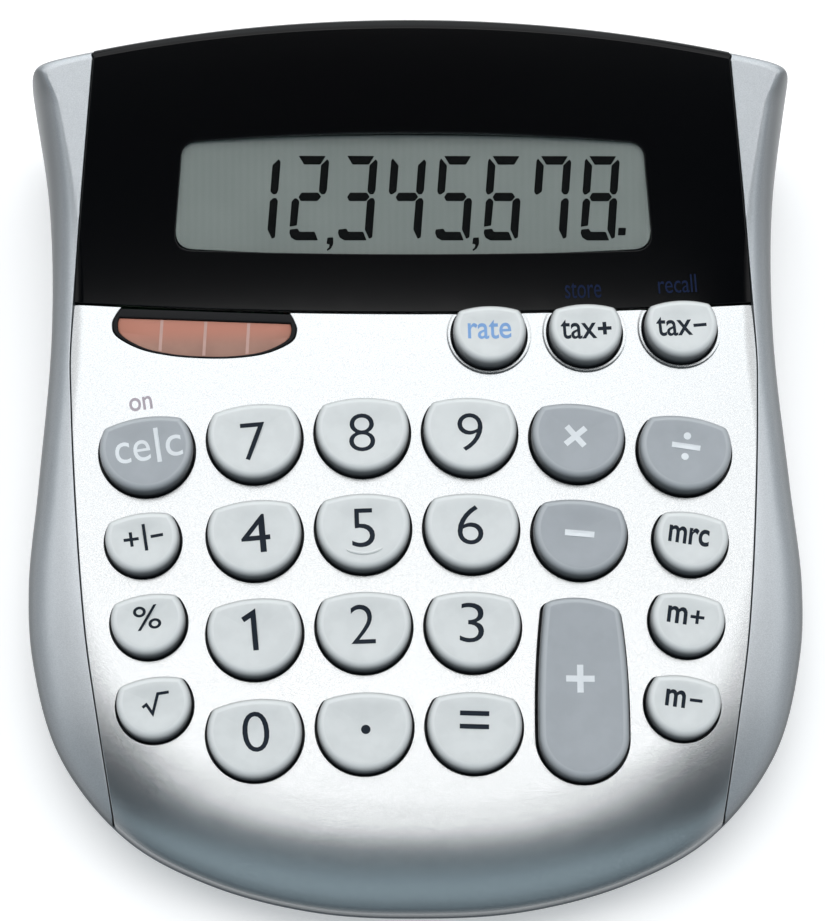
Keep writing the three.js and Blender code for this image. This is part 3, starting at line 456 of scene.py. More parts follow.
# A mesh shaded smooth with creases where its faces turn sharply
def creasedMesh(name, points, faceList, angle=35):
    mesh = cleanMesh(name, points, faceList)
    mesh.shade_smooth()
    mesh.set_sharp_from_angle(angle=math.radians(angle))
    return mesh


def sheetPiece(name, sheet, thickness, lip, node, slot):
    addPiece(name, formulaMesh(name, *thickened(sheet, thickness, lip)), node, slot)


# Keys
layout = {
    "columnShare": 0.1372, "rowShare": 0.1104, "firstRow": 1.277, "rowRadius": 316,
    "topX": 0.7, "topPitch": 0.901, "topDrop": 0.628,
    "sideX": 2.53, "sideY": 1.11, "sideLean": 0.0576, "sidePitch": 0.827, "tallX": 1.495, "tallY": 2.647,
}
columnPitch = layout["columnShare"] * housing["width"]
rowPitch = layout["rowShare"] * housing["length"]
firstRowY = creaseY - layout["firstRow"] * rowPitch
keyShape = {
    "radius": 7.739, "smallRadius": 6.168, "cornerAngle": 35, "archShare": 0.71, "cornerRadius": 1.4,
    "circleSteps": 26, "cornerSteps": 7, "archSteps": 9, "shrink": 0.3, "creaseAngle": 40,
    "height": 3, "dish": 0.3, "crestInset": 1.15, "crestDrop": 1.05, "crestSteps": 8,
    "dishShares": [0.02, 0.2, 0.36, 0.5, 0.62, 0.73, 0.82, 0.9, 0.96], "paintedShadeShare": 0.6,
    "skirt": -3, "flange": 0.4, "flangeTop": -2.45, "wall": 1.3, "ceiling": 1.2,
}
tallKey = {
    "radius": 7.422, "length": 29.932, "topHalf": 6.242, "middleHalf": 7.192, "arch": 1.35, "lean": -4.3,
    "archShare": 0.76, "cornerShare": 0.2,
    "circleSteps": 44, "flankSteps": 16, "cornerSteps": 7, "archSteps": 14,
}


def seatOn(x, y, angle):
    run = creaseY - y
    rise = slope(faces["keySlope"]) + run / faces["keyRadius"]
    normal = unit(np.array([x / faces["crownRadius"], -rise, 1]))
    across = unit(np.cross([-math.sin(angle), math.cos(angle), 0], normal))
    return np.array([across, np.cross(normal, across), normal]), np.array([x, y, keyFace(x, y)])


def placed(seat, points):
    axes, origin = seat
    return np.array(points, dtype=float) @ axes + origin


def rowSeat(column, row):
    x = column * columnPitch
    y = firstRowY - row * rowPitch - x * x / (2 * layout["rowRadius"])
    return seatOn(x, y, -x / layout["rowRadius"])


def sideSeat(side, row):
    x = side * (layout["sideX"] - row * layout["sideLean"]) * columnPitch
    y = firstRowY - (layout["sideY"] + row * layout["sidePitch"]) * rowPitch
    return seatOn(x, y, -x / layout["rowRadius"])


def topSeat(place):
    x = (layout["topX"] + place * layout["topPitch"]) * columnPitch
    drop = layout["topDrop"] * keyShape["smallRadius"]
    return seatOn(x, creaseLine(x) - drop, x / faces["creaseRadius"])


def arc(centre, radius, start, end, steps):
    angle = np.linspace(start, end, steps + 1)
    return np.column_stack([centre[0] + radius * np.cos(angle), centre[1] + radius * np.sin(angle)])


# A circle with a low arch across its top and a small round where the two meet
def roundOutline(radius):
    corner = math.radians(keyShape["cornerAngle"])
    half, low = radius * math.cos(corner), radius * math.sin(corner)
    sagitta = keyShape["archShare"] * radius - low
    archRadius = (half * half + sagitta * sagitta) / (2 * sagitta)
    archY = keyShape["archShare"] * radius - archRadius
    small = keyShape["cornerRadius"]
    toCircle, toArch = radius - small, archRadius - small
    centreY = (toArch ** 2 - toCircle ** 2 - archY ** 2) / (-2 * archY)
    centreX = math.sqrt(toCircle ** 2 - centreY ** 2)
    lowAngle, highAngle = math.atan2(centreY, centreX), math.atan2(centreY - archY, centreX)
    bowl = arc((0, 0), radius, -math.pi / 2, lowAngle, keyShape["circleSteps"])
    corner = arc((centreX, centreY), small, lowAngle, highAngle, keyShape["cornerSteps"])
    arch = arc((0, archY), archRadius, highAngle, math.pi / 2, keyShape["archSteps"])
    right = np.vstack([bowl, corner[1:], arch[1:]])
    return np.vstack([right, right[-2:0:-1] * [-1, 1]])


# The plus key: a half circle below, sides that draw in upwards and a leaning arch on top
def tallOutline():
    radius, end, lean = tallKey["radius"], tallKey["length"] / 2, slope(tallKey["lean"])
    circle = arc((0, radius - end), radius, -math.pi, 0, tallKey["circleSteps"])
    flanks, corners = [], []
    for side in (1, -1):
        low = np.array([side * radius, radius - end])
        middle = np.array([side * tallKey["middleHalf"], radius / 2])
        top = np.array([side * tallKey["topHalf"], end - tallKey["arch"] + side * tallKey["topHalf"] * lean])
        flank = bezier(low, 2 * middle - (low + top) / 2, top, tallKey["flankSteps"])
        flanks.append(flank[1:-2] if side > 0 else flank[1:-2][::-1])
        corners.append((mixed(flank[-2], top, tallKey["cornerShare"]), top))
    across = np.linspace(tallKey["archShare"], -tallKey["archShare"], tallKey["archSteps"] + 1)
    archX = across * tallKey["topHalf"]
    arch = np.column_stack([archX, end - tallKey["arch"] * across ** 2 + archX * lean])
    (rightStart, rightTop), (leftStart, leftTop) = corners
    right = bezier(rightStart, rightTop, arch[0], tallKey["cornerSteps"])
    left = bezier(arch[-1], leftTop, leftStart, tallKey["cornerSteps"])
    return np.vstack([circle, flanks[0], right, arch[1:-1], left, flanks[1]])


def insetOutline(points, distance):
    before, after = np.roll(points, 1, axis=0), np.roll(points, -1, axis=0)
    sides = []
    for start, end in ((before, points), (points, after)):
        along = unit(end - start)
        sides.append(np.column_stack([-along[:, 1], along[:, 0]]))
    mean = unit(sides[0] + sides[1])
    return points + mean * (distance / (mean * sides[0]).sum(axis=1))[:, None]


# Each key's seat, the outline of its cap and its slot
def keyList():
    big, small = roundOutline(keyShape["radius"]), roundOutline(keyShape["smallRadius"])
    found = {}
    for row, names in enumerate(["789", "456", "123", ["0", "point", "equals"]]):
        for place, name in enumerate(names):
            found[name] = (rowSeat(place - 1.5, row), big, "key_light")
    greyPlaces = {"clear": (-2.5, 0), "multiply": (1.5, 0), "divide": (2.5, 0), "minus": (1.5, 1)}
    found.update({name: (rowSeat(*place), big, "key_grey") for name, place in greyPlaces.items()})
    smallSeats = {
        "sign": sideSeat(-1, 0), "percent": sideSeat(-1, 1), "root": sideSeat(-1, 2),
        "memory_recall": sideSeat(1, 0), "memory_add": sideSeat(1, 1), "memory_subtract": sideSeat(1, 2),
        "rate": topSeat(0), "tax_add": topSeat(1), "tax_subtract": topSeat(2),
    }
    found.update({name: (seat, small, "key_light") for name, seat in smallSeats.items()})
    tallSeat = seatOn(layout["tallX"] * columnPitch, firstRowY - layout["tallY"] * rowPitch, 0)
    found["plus"] = (tallSeat, tallOutline(), "key_grey")
    for name, (seat, outline, slot) in found.items():
        found[name] = (seat, insetOutline(outline, keyShape["shrink"]), slot)
    return found


keys = keyList()


# The shallow wells round the three upper keys
wells = {
    "radius": 6.988, "depth": 0.07, "soft": 0.45, "turnShare": 0.995, "steps": 120,
    "ringShares": [-1.2, -1, -0.75, -0.5, -0.25, 0, 0.2],
}


def outsideWells(x, y):
    outside = np.full(np.shape(x), 1e3)
    for place in range(3):
        _, (centreX, centreY, _) = topSeat(place)
        outside = np.minimum(outside, np.hypot(x - centreX, y - centreY) - wells["radius"])
    return outside


def wellAt(face, x, y):
    if face is not keyFace:
        return 0
    return wells["depth"] * (1 - smooth(outsideWells(x, y), -wells["soft"], 0))


# Points along the soft edge of the wells, in lines that follow it
def wellPoints():
    rows = []
    for share in wells["ringShares"]:
        radius = wells["radius"] + share * wells["soft"]
        turn = 2 * math.pi * wells["turnShare"]
        rows += [arc(topSeat(place)[1][:2], radius, 0, turn, wells["steps"]) for place in range(3)]
    return rows


# A closed mesh through flat rings of as many points each, listed from the top down
def stackedRings(rings):
    count = len(rings[0][0])
    points = np.vstack([atHeight(ring, height) for ring, height in rings])
    faceList = []
    for level in range(len(rings) - 1):
        for step in range(count):
            after = (step + 1) % count
            upper, lower = level * count, (level + 1) * count
            faceList.append((upper + step, lower + step, lower + after, upper + after))
    last = (len(rings) - 1) * count
    faceList.append(tuple(range(count)))
    faceList.append(tuple(range(last + count - 1, last - 1, -1)))
    return points, faceList


# Rings that round an edge off, from an inset at the top down to the outline itself
def roundedRings(outline, inset, drop, top, steps):
    rings = []
    for step in range(steps + 1):
        angle = step / steps * math.pi / 2
        ring = insetOutline(outline, inset * (1 - math.sin(angle)))
        rings.append((ring, top - drop * (1 - math.cos(angle))))
    return rings


def crestOf(outline):
    return insetOutline(outline, keyShape["crestInset"])


def dishAt(share):
    return keyShape["height"] - keyShape["dish"] * (1 - np.clip(share, 0, 1) ** 2) ** 2


# The height of a key's dished top at any place on it
def topHeight(outline, places):
    crest = crestOf(outline)
    middle = crest.mean(axis=0)
    away = crest - middle
    angles = np.arctan2(away[:, 1], away[:, 0])
    order = np.argsort(angles)
    here = np.array(places) - middle
    reach = np.interp(
        np.arctan2(here[:, 1], here[:, 0]), angles[order], np.hypot(*away[order].T), period=2 * math.pi,
    )
    return dishAt(np.hypot(*here.T) / reach)


# Each point of a cap also carries how far down its side it lies, which the key's material turns into painted
# highlight and painted shade
def keyCap(name, seat, outline, slot):
    crest = crestOf(outline)
    middle = crest.mean(axis=0)
    wall, flange = insetOutline(outline, keyShape["wall"]), insetOutline(outline, -keyShape["flange"])
    height, ceiling, steps = keyShape["height"], keyShape["ceiling"], keyShape["crestSteps"]
    flangeTop, skirt = keyShape["flangeTop"], keyShape["skirt"]
    rings = [(mixed(middle, crest, share), dishAt(share)) for share in keyShape["dishShares"]]
    shares = [0.0] * len(rings) + [step / steps * keyShape["paintedShadeShare"] for step in range(steps + 1)]
    rings += roundedRings(outline, keyShape["crestInset"], keyShape["crestDrop"], height, steps)
    rings += [(outline, flangeTop), (flange, flangeTop), (flange, skirt), (wall, skirt)]
    rings += [(wall, ceiling), (mixed(middle, wall, meshing["middleShare"]), ceiling)]
    shares += [1.0] * (len(rings) - len(shares))
    points, faceList = stackedRings(rings)
    mesh = creasedMesh("cap_" + name, placed(seat, points), faceList, keyShape["creaseAngle"])
    side = mesh.attributes.new("side", "FLOAT", "POINT")
    side.data.foreach_set("value", np.repeat(shares, len(outline)))
    addPiece("cap_" + name, mesh, "key_" + name, slot, body="key_" + name + "_cap")


# Puts a plain value or another node's output into a socket
def feed(tree, target, value):
    if isinstance(value, Socket):
        tree.links.new(value.output, target)
    else:
        target.default_value = (*value, 1) if target.type == "RGBA" else value


# Shader maths: a node's output that can be added, multiplied and raised to a power like a number
class Socket:
    def __init__(self, tree, output):
        self.tree = tree
        self.output = output

    def combined(self, operation, *values):
        node = self.tree.nodes.new("ShaderNodeMath")
        node.operation = operation
        for place, value in enumerate(values):
            feed(self.tree, node.inputs[place], value)
        return Socket(self.tree, node.outputs[0])

    def __add__(self, other):
        return self.combined("ADD", self, other)

    def __sub__(self, other):
        return self.combined("SUBTRACT", self, other)

    def __rsub__(self, other):
        return self.combined("SUBTRACT", other, self)

    def __mul__(self, other):
        return self.combined("MULTIPLY", self, other)

    def __truediv__(self, other):
        return self.combined("DIVIDE", self, other)

    def __rtruediv__(self, other):
        return self.combined("DIVIDE", other, self)

    def __pow__(self, other):
        return self.combined("POWER", self, other)

    def __rpow__(self, other):
        return self.combined("POWER", other, self)

    def __abs__(self):
        return self.combined("ABSOLUTE", self)

    def atLeast(self, low):
        return self.combined("MAXIMUM", self, low)

    def atMost(self, high):
        return self.combined("MINIMUM", self, high)

    def sine(self):
        return self.combined("SINE", self)

    def between(self, low, high):
        share = ((self - low) / (high - low)).atLeast(0).atMost(1)
        return share * share * (3 - share * 2)

    __radd__ = __add__
    __rmul__ = __mul__


class Nodes:
    def __init__(self, tree):
        self.tree = tree

    # A node of any kind: its settings come first, a ramp's stops among them, then its sockets
    def node(self, kind, settings, sockets, output=0):
        node = self.tree.nodes.new(kind)
        for name, value in settings.items():
            if name == "stops":
                self.setStops(node.color_ramp.elements, value)
            else:
                setattr(node, name, value)
        for name, value in sockets.items():
            feed(self.tree, node.inputs[name], value)
        return Socket(self.tree, node.outputs[output])

    def setStops(self, stops, wanted):
        while len(stops) < len(wanted):
            stops.new(0.5)
        for stop, (position, colour) in zip(stops, wanted):
            stop.position, stop.color = position, (*colour, 1)

    def place(self, space="Object"):
        return self.node("ShaderNodeTexCoord", {}, {}, space)

    def axis(self, name, space="Object"):
        return self.node("ShaderNodeSeparateXYZ", {}, {"Vector": self.place(space)}, name)

    def noise(self, scale, detail=2, vector=None):
        sockets = {"Vector": vector or self.place(), "Scale": scale, "Detail": detail}
        return self.node("ShaderNodeTexNoise", {}, sockets)

    def carried(self, name):
        return self.node("ShaderNodeAttribute", {"attribute_name": name}, {}, "Fac")

    def blend(self, share, first, second):
        return self.node("ShaderNodeMix", {"data_type": "RGBA"}, {0: share, 6: first, 7: second}, 2)

    def bump(self, height, strength, distance=0.0002):
        return self.node("ShaderNodeBump", {}, {"Strength": strength, "Distance": distance, "Height": height})


class Shader(Nodes):
    def __init__(self, name, sockets):
        self.material = bpy.data.materials.new(name)
        self.material.use_nodes = True
        super().__init__(self.material.node_tree)
        for socket, value in sockets.items():
            self.set(socket, value)

    def set(self, name, value):
        feed(self.tree, self.tree.nodes["Principled BSDF"].inputs[name], value)


# Paint, plastic and metal: colours are linear, patterns in repeats per metre, places in millimetres
finishes = {
    # In silver and cheek, "side" is painted shade, the colour where the surface turns down; "fall" sets how
    # soon it sets in
    "silver": {
        "dark": (0.5, 0.51, 0.515), "light": (0.62, 0.63, 0.635), "side": (0.045, 0.054, 0.06), "fall": 1.4,
        "metallic": 0.96, "roughness": 0.23, "grain": 7000,
    },
    "cheek": {
        "dark": (0.51, 0.53, 0.55), "light": (0.62, 0.64, 0.66), "side": (0.06, 0.067, 0.071), "fall": 2.5,
        "metallic": 0.6, "roughness": 0.32, "grain": 7000,
    },
    # On the keys, "rim" is a painted highlight along the crest and "side" is painted shade down the cap's
    # sides
    "keyLight": {
        "colour": (0.76, 0.77, 0.76), "rim": (0.8, 0.81, 0.8), "side": (0.042, 0.046, 0.051),
        "roughness": 0.42, "patches": 300, "grain": 9000,
    },
    "keyGrey": {
        "colour": (0.395, 0.415, 0.44), "rim": (0.47, 0.49, 0.51), "side": (0.034, 0.037, 0.041),
        "roughness": 0.36, "patches": 300, "grain": 9000,
    },
    "steel": {"dark": (0.42, 0.42, 0.43), "light": (0.6, 0.6, 0.6), "roughness": 0.3},
    "brass": {"dark": (0.55, 0.4, 0.16), "light": (0.75, 0.58, 0.28), "roughness": 0.3},
    "glass": {
        "dark": (0.225, 0.262, 0.24), "light": (0.3, 0.335, 0.31),
        "roughness": 0.3, "bands": 5200, "patches": 90,
    },
    "solar": {
        "dark": (0.35, 0.185, 0.14), "light": (0.41, 0.225, 0.17), "back": (0.53, 0.215, 0.15),
        "roughness": 0.22, "shine": 0.2, "patches": 220, "backFrom": 18.5, "backTo": 22.5,
    },
    "board": {
        "dark": (0.012, 0.09, 0.035), "light": (0.02, 0.13, 0.05), "track": (0.05, 0.22, 0.08),
        "roughness": 0.35, "patches": 500, "tracks": 220, "trackShare": 0.06,
    },
    "ribbon": {"film": (0.34, 0.13, 0.03), "line": (0.1, 0.06, 0.03), "roughness": 0.3, "lines": 7000},
    "clear": {"colour": (0.01, 0.01, 0.01), "alpha": 0.07, "roughness": 0.01, "smudge": 0.06, "patches": 60},
    "gloss": {"colour": (0.002, 0.002, 0.0024), "roughness": 0.06, "shine": 0.2},
    "case": {"colour": (0.14, 0.152, 0.165), "roughness": 0.5},
    "dark": {"colour": (0.006, 0.006, 0.007), "roughness": 0.45, "shine": 0.15},
    "rubber": {"colour": (0.03, 0.03, 0.032), "roughness": 0.8},
    "keypad": {"colour": (0.5, 0.51, 0.5), "roughness": 0.7},
    "resin": {"colour": (0.01, 0.01, 0.011), "roughness": 0.25},
    "ink": {"colour": (0.014, 0.02, 0.03), "roughness": 0.5, "shine": 0.1},
    "whiteInk": {"colour": (0.86, 0.88, 0.9), "roughness": 0.5, "shine": 0.2},
    "blueInk": {"colour": (0.24, 0.42, 0.74), "roughness": 0.5, "shine": 0.2},
    "navyInk": {"colour": (0.006, 0.014, 0.05), "roughness": 0.5, "shine": 0.1},
    "mauveInk": {"colour": (0.52, 0.45, 0.49), "roughness": 0.5, "shine": 0.1},
    "segments": {"colour": (0.004, 0.005, 0.005), "roughness": 0.5, "shine": 0.05},
    "solarLine": {"colour": (0.58, 0.36, 0.31), "roughness": 0.4, "shine": 0.2},
}
plainPlastic = {"patches": 260, "grain": 9000, "shine": 0.5}
polished = 0.2         # plastic that is smoother than this has no grain
streaks = (400, 4000, 400)


# Metallic paint has a fine sparkle; painted shade darkens its colour where the surface turns down
def metalPaint(name, look):
    shader = Shader(name, {"Metallic": look["metallic"], "Roughness": look["roughness"]})
    grain = shader.noise(look["grain"], 1)
    top = shader.blend(grain.between(0.3, 0.7), look["dark"], look["light"])
    # Painted shade: the colour goes to the dark "side" colour as the surface turns from up towards down
    upward = shader.axis("Z", "Normal").atLeast(0)
    shader.set("Base Color", shader.blend(upward ** look["fall"], look["side"], top))
    shader.set("Normal", shader.bump(grain, 0.06))
    return shader.material


def darker(colour, share):
    return tuple(share * part for part in colour)


# Moulded plastic has a fine grain and slightly uneven gloss
def plastic(name, look):
    look = {**plainPlastic, **look}
    shader = Shader(name, {"Roughness": look["roughness"], "Specular IOR Level": look["shine"]})
    patches = shader.noise(look["patches"], 3)
    shade = shader.blend(patches.between(0.35, 0.65), darker(look["colour"], 0.93), look["colour"])
    shader.set("Base Color", shade)
    if look["roughness"] > polished:
        shader.set("Roughness", patches * 0.08 + (look["roughness"] - 0.04))
        shader.set("Normal", shader.bump(shader.noise(look["grain"]), 0.03))
    return shader.material


# A key is pale on top, with a painted highlight at its rim and painted shade down its sides
def keyPlastic(name, look):
    shader = Shader(name, {"Roughness": look["roughness"]})
    patches = shader.noise(look["patches"], 3)
    top = shader.blend(patches.between(0.35, 0.65), darker(look["colour"], 0.95), look["colour"])
    side = shader.carried("side")
    # Painted highlight: the rim colour where the crest begins
    edge = shader.blend(side.between(0, 0.07), top, look["rim"])
    # Painted shade: the cap darkens down its sides
    shader.set("Base Color", shader.blend(side.between(0.08, 0.8), edge, look["side"]))
    shader.set("Normal", shader.bump(shader.noise(look["grain"]), 0.03))
    return shader.material


# Turned or drawn metal, streaked along one way
def bareMetal(name, look):
    shader = Shader(name, {"Metallic": 1})
    spread = shader.node("ShaderNodeMapping", {}, {"Vector": shader.place(), "Scale": streaks})
    streak = shader.noise(1, 2, spread)
    shader.set("Base Color", shader.blend(streak.between(0.3, 0.7), look["dark"], look["light"]))
    shader.set("Roughness", streak * 0.15 + (look["roughness"] - 0.05))
    return shader.material


# Display glass: grey-green, with the faint upright bands of its unlit electrodes
def displayGlass(name, look):
    shader = Shader(name, {"Roughness": look["roughness"]})
    band = (shader.axis("X") * look["bands"]).sine()
    share = band * 0.07 + shader.noise(look["patches"]) * 0.7 + 0.12
    shader.set("Base Color", shader.blend(share, look["dark"], look["light"]))
    return shader.material


def solarGlass(name, look):
    shader = Shader(name, {"Roughness": look["roughness"], "Specular IOR Level": look["shine"]})
    rust = shader.blend(shader.noise(look["patches"], 3).between(0.3, 0.7), look["dark"], look["light"])
    back = shader.axis("Y").between(look["backFrom"] * mm, look["backTo"] * mm)
    shader.set("Base Color", shader.blend(back, rust, look["back"]))
    return shader.material


# Copper tracks under green lacquer
def boardLacquer(name, look):
    shader = Shader(name, {"Roughness": look["roughness"]})
    sockets = {"Vector": shader.place(), "Scale": look["tracks"], "Mortar Size": look["trackShare"]}
    track = shader.node("ShaderNodeTexBrick", {"offset": 0.5}, sockets, "Fac")
    green = shader.blend(shader.noise(look["patches"]).between(0.3, 0.7), look["dark"], look["light"])
    shader.set("Base Color", shader.blend(track, green, look["track"]))
    return shader.material


def ribbonFilm(name, look):
    shader = Shader(name, {"Roughness": look["roughness"]})
    line = (shader.axis("X") * look["lines"]).sine()
    shader.set("Base Color", shader.blend(line.between(0, 0.4), look["film"], look["line"]))
    return shader.material


# The window is clear and only its gloss shows
def clearWindow(name, look):
    shader = Shader(name, {"Base Color": look["colour"], "Alpha": look["alpha"]})
    shader.set("Roughness", shader.noise(look["patches"], 3) * look["smudge"] + look["roughness"])
    return shader.material


materials = {
    "silver": metalPaint("silver_paint", finishes["silver"]),
    "cheek": metalPaint("cheek_paint", finishes["cheek"]),
    "keyLight": keyPlastic("light_keys", finishes["keyLight"]),
    "keyGrey": keyPlastic("grey_keys", finishes["keyGrey"]),
    "steel": bareMetal("screw_steel", finishes["steel"]),
    "brass": bareMetal("contact_brass", finishes["brass"]),
    "glass": displayGlass("display_glass", finishes["glass"]),
    "solar": solarGlass("solar_cell", finishes["solar"]),
    "board": boardLacquer("board_lacquer", finishes["board"]),
    "ribbon": ribbonFilm("ribbon_film", finishes["ribbon"]),
    "clear": clearWindow("clear_window", finishes["clear"]),
}
for name, look in finishes.items():
    if name not in materials:
        materials[name] = plastic(name + "_plastic", look)
slotFinishes = {
    "silver_cover": "silver", "cheek_plastic": "cheek", "gloss_black": "gloss", "key_light": "keyLight",
    "key_grey": "keyGrey", "case_plastic": "case", "screw_steel": "steel", "foot_rubber": "rubber",
    "clear_window": "clear", "lcd": "glass", "solar": "solar", "dark_frame": "dark",
}
print("materials made")


# Housing pieces
def seamLine(shift):
    size = np.array([housing["width"], housing["length"]])
    line = throughPoints(np.array(housing["seamShares"]) * size, 24, uniform=True)
    over = housing["overrun"]
    line = np.vstack([line[0] - [0, over], line, line[-1] + [0, over]])
    return line + [shift, 0]


def betweenSeams(shift):
    right = seamLine(shift)
    return np.vstack([right, (right * [-1, 1])[::-1]])


def outsideSeam(shift, side):
    line = seamLine(shift)
    far = housing["width"]
    return np.vstack([line, [[far, line[-1][1]], [far, line[0][1]]]]) * [side, 1]


def beyondCrease(shift, y):
    x = np.linspace(-1, 1, 121) * (housing["width"] / 2 + housing["overrun"])
    line = np.column_stack([x, creaseLine(x) + shift])
    return np.vstack([line, [[x[-1], y], [x[0], y]]])


# An outline drawn on a seat's plane, as the plan shows it
def inPlan(seat, outline):
    return placed(seat, atHeight(outline, 0))[:, :2]


def keyHole(name, lip):
    seat, outline, _ = keys[name]
    return inPlan(seat, insetOutline(outline, -keyShape["shrink"] - lip))


pocket = {
    "x": -1.962 * columnPitch, "half": 0.869 * columnPitch, "depth": 0.527 * rowPitch,
    "shares": [[0.91, 0], [0.965, 0.16], [0.998, 0.36], [0.94, 0.61], [0.68, 0.855], [0.35, 0.97]],
}
pocketSeat = seatOn(pocket["x"], creaseLine(pocket["x"]), pocket["x"] / faces["creaseRadius"])


def pocketOutline(inward, back, front=None):
    half, depth = pocket["half"] - inward, pocket["depth"] - (inward if front is None else front)
    left = np.array(pocket["shares"]) * [-half, -depth]
    edge = throughPoints(np.vstack([left, [[0, -depth]], left[::-1] * [-1, 1]]), 10, uniform=True)
    return np.vstack([[[left[0][0], back]], edge, [[-left[0][0], back]]])


def pocketHole(lip):
    return inPlan(pocketSeat, pocketOutline(-lip, housing["overrun"]))


def topCover():
    lip = housing["lip"]
    far = -housing["length"] / 2 - housing["overrun"]
    bounds = [
        (betweenSeams(-lip), True),
        (beyondCrease(-housing["partingGap"] / 2 - lip, far), True),
        (pocketHole(lip), False),
    ]
    bounds += [(keyHole(name, lip), False) for name in keys]
    sheet = faceSheet(keyFace, bounds, wellPoints())
    sheetPiece("cover", sheet, housing["wall"], lip, "top_cover", "silver_cover")


panel = {
    "windowStart": 9.753, "windowEnd": 29.755, "windowHalf": 38.7, "windowTaper": 0.9, "windowSag": 1.06,
    "windowCorner": 3, "bendSteps": 8, "edgeSteps": 30,
}
panelAngle = math.radians(faces["panelSlope"])
along, upward = math.cos(panelAngle), math.sin(panelAngle)
panelAxes = np.array([[1, 0, 0], [0, along, upward], [0, -upward, along]])
panelSeat = (panelAxes, np.array([0, creaseY, faces["creaseHeight"]]))


def windowOutline(margin):
    sag = panel["windowSag"]
    low, high = panel["windowStart"] + sag - margin, panel["windowEnd"] - sag + margin
    corner = panel["windowCorner"] + margin / 2
    lowHalf = panel["windowHalf"] + margin
    sides = []
    for half, y, way in ((lowHalf, low, -1), (panel["windowHalf"] - panel["windowTaper"] + margin, high, 1)):
        endY = y + way * sag * corner / half
        bend = bezier([half, y - way * corner], [half, y], [half - corner, endY], panel["bendSteps"])
        middle = [0, y + way * 2 * sag]
        across = bezier([half - corner, endY], middle, [corner - half, endY], panel["edgeSteps"])
        sides.append(np.vstack([bend, across[1:-1], (bend * [-1, 1])[::-1]]))
    return np.vstack([sides[0][::-1], sides[1]])


def displayBezel():
    lip = housing["lip"]
    far = housing["length"] / 2 + housing["overrun"]
    bounds = [
        (betweenSeams(-lip), True),
        (beyondCrease(housing["partingGap"] / 2 + lip, far), True),
        (inPlan(panelSeat, windowOutline(lip)), False),
    ]
    bounds += [(keyHole(name, lip), False) for name in ("rate", "tax_add", "tax_subtract")]
    sheet = faceSheet(displayFace, bounds)
    sheetPiece("panel", sheet, housing["wall"], lip, "display_bezel", "gloss_black")


def cheek(name, side):
    lip = housing["lip"]
    sheet = faceSheet(cheekFace, [(outsideSeam(housing["seamGap"] + lip, side), True)])
    sheetPiece(name, sheet, housing["wall"], lip, name.replace("side", "cheek"), "cheek_plastic")


# A regular polygon that stands for a circle
def circle(centre, radius, steps=48):
    return arc(centre, radius, 0, 2 * math.pi * (1 - 1 / steps), steps - 1)


def roundedRectangle(halfX, halfY, radius, centre=(0, 0), steps=8):
    corners = []
    for quarter, (signX, signY) in enumerate(((1, 1), (-1, 1), (-1, -1), (1, -1))):
        middle = (centre[0] + signX * (halfX - radius), centre[1] + signY * (halfY - radius))
        corners.append(arc(middle, radius, quarter * math.pi / 2, (quarter + 1) * math.pi / 2, steps))
    return np.vstack(corners)


# Triangles over closed outlines in a plane, with the holes left out, and points to let them bend
def filled(outlines, spacing=None):
    points, edges = outlineEdges(outlines)
    if spacing:
        low, high = np.min(points, axis=0), np.max(points, axis=0)
        x, y = np.meshgrid(*(np.arange(a + spacing / 2, b, spacing) for a, b in zip(low, high)))
        points += list(np.column_stack([x.ravel(), y.ravel()]))

    def isKept(middles):
        return np.sum([within(middles, np.array(outline)) for outline in outlines], axis=0) % 2 == 1

    return triangulated(points, edges, meshing["fineMerge"], isKept)


# A flat plate in a seat's frame, with round upper edges
def plate(name, seat, height, outlines, thickness, lip, node, slot):
    places, triangles = filled(outlines)
    points = placed(seat, atHeight(places, height))
    normals = np.tile(seat[0][2], (len(points), 1))
    sheetPiece(name, (points, normals, triangles), thickness, lip, node, slot)


# Lower case, seen from below: screw wells, foot recesses and the battery opening
case = {
    "screwX": [33.983, 49.972, 46.404], "screwY": [-56.94, 13.432, 57.962],
    "screwGrip": 3.4, "boreRadius": 2.4, "neckRadius": 1.4, "postRadius": 3.7, "postRise": 0.5, "gap": 0.3,
    "footX": [38.623, 44.893], "footY": [-42.34, 52.56], "footRadius": 4.6, "footRecess": 0.6, "footGap": 0.1,
    "footInset": 0.5, "footDrop": 0.4, "footSteps": 6, "footShares": [0.05, 0.5, 0.8], "roundSteps": 64,
    "hatchHalf": 9, "hatchLength": 27, "hatchY": 9.105, "hatchThickness": 1.4, "hatchCorner": 1.2,
    "hatchLip": 0.25, "hatchWallShare": 0.9, "hatchScrewInset": 4.2, "hatchScrewLength": 4.2,
    "seatMargin": 1.2, "seatRise": 0.2, "roofCorner": 2, "roofThickness": 1,
}
screwSpots = [(side * x, y) for side in (-1, 1) for x, y in zip(case["screwX"], case["screwY"])]
footSpots = [(side * x, y) for side in (-1, 1) for x, y in zip(case["footX"], case["footY"])]
hatchScrewY = case["hatchY"] - case["hatchLength"] / 2 + case["hatchScrewInset"]


def downwards(x, y, z):
    return np.array([[1, 0, 0], [0, -1, 0], [0, 0, -1]]), np.array([x, y, z])


def ringedPiece(name, seat, rings, node, slot):
    points, faceList = stackedRings(rings)
    addPiece(name, creasedMesh(name, placed(seat, points), faceList), node, slot)


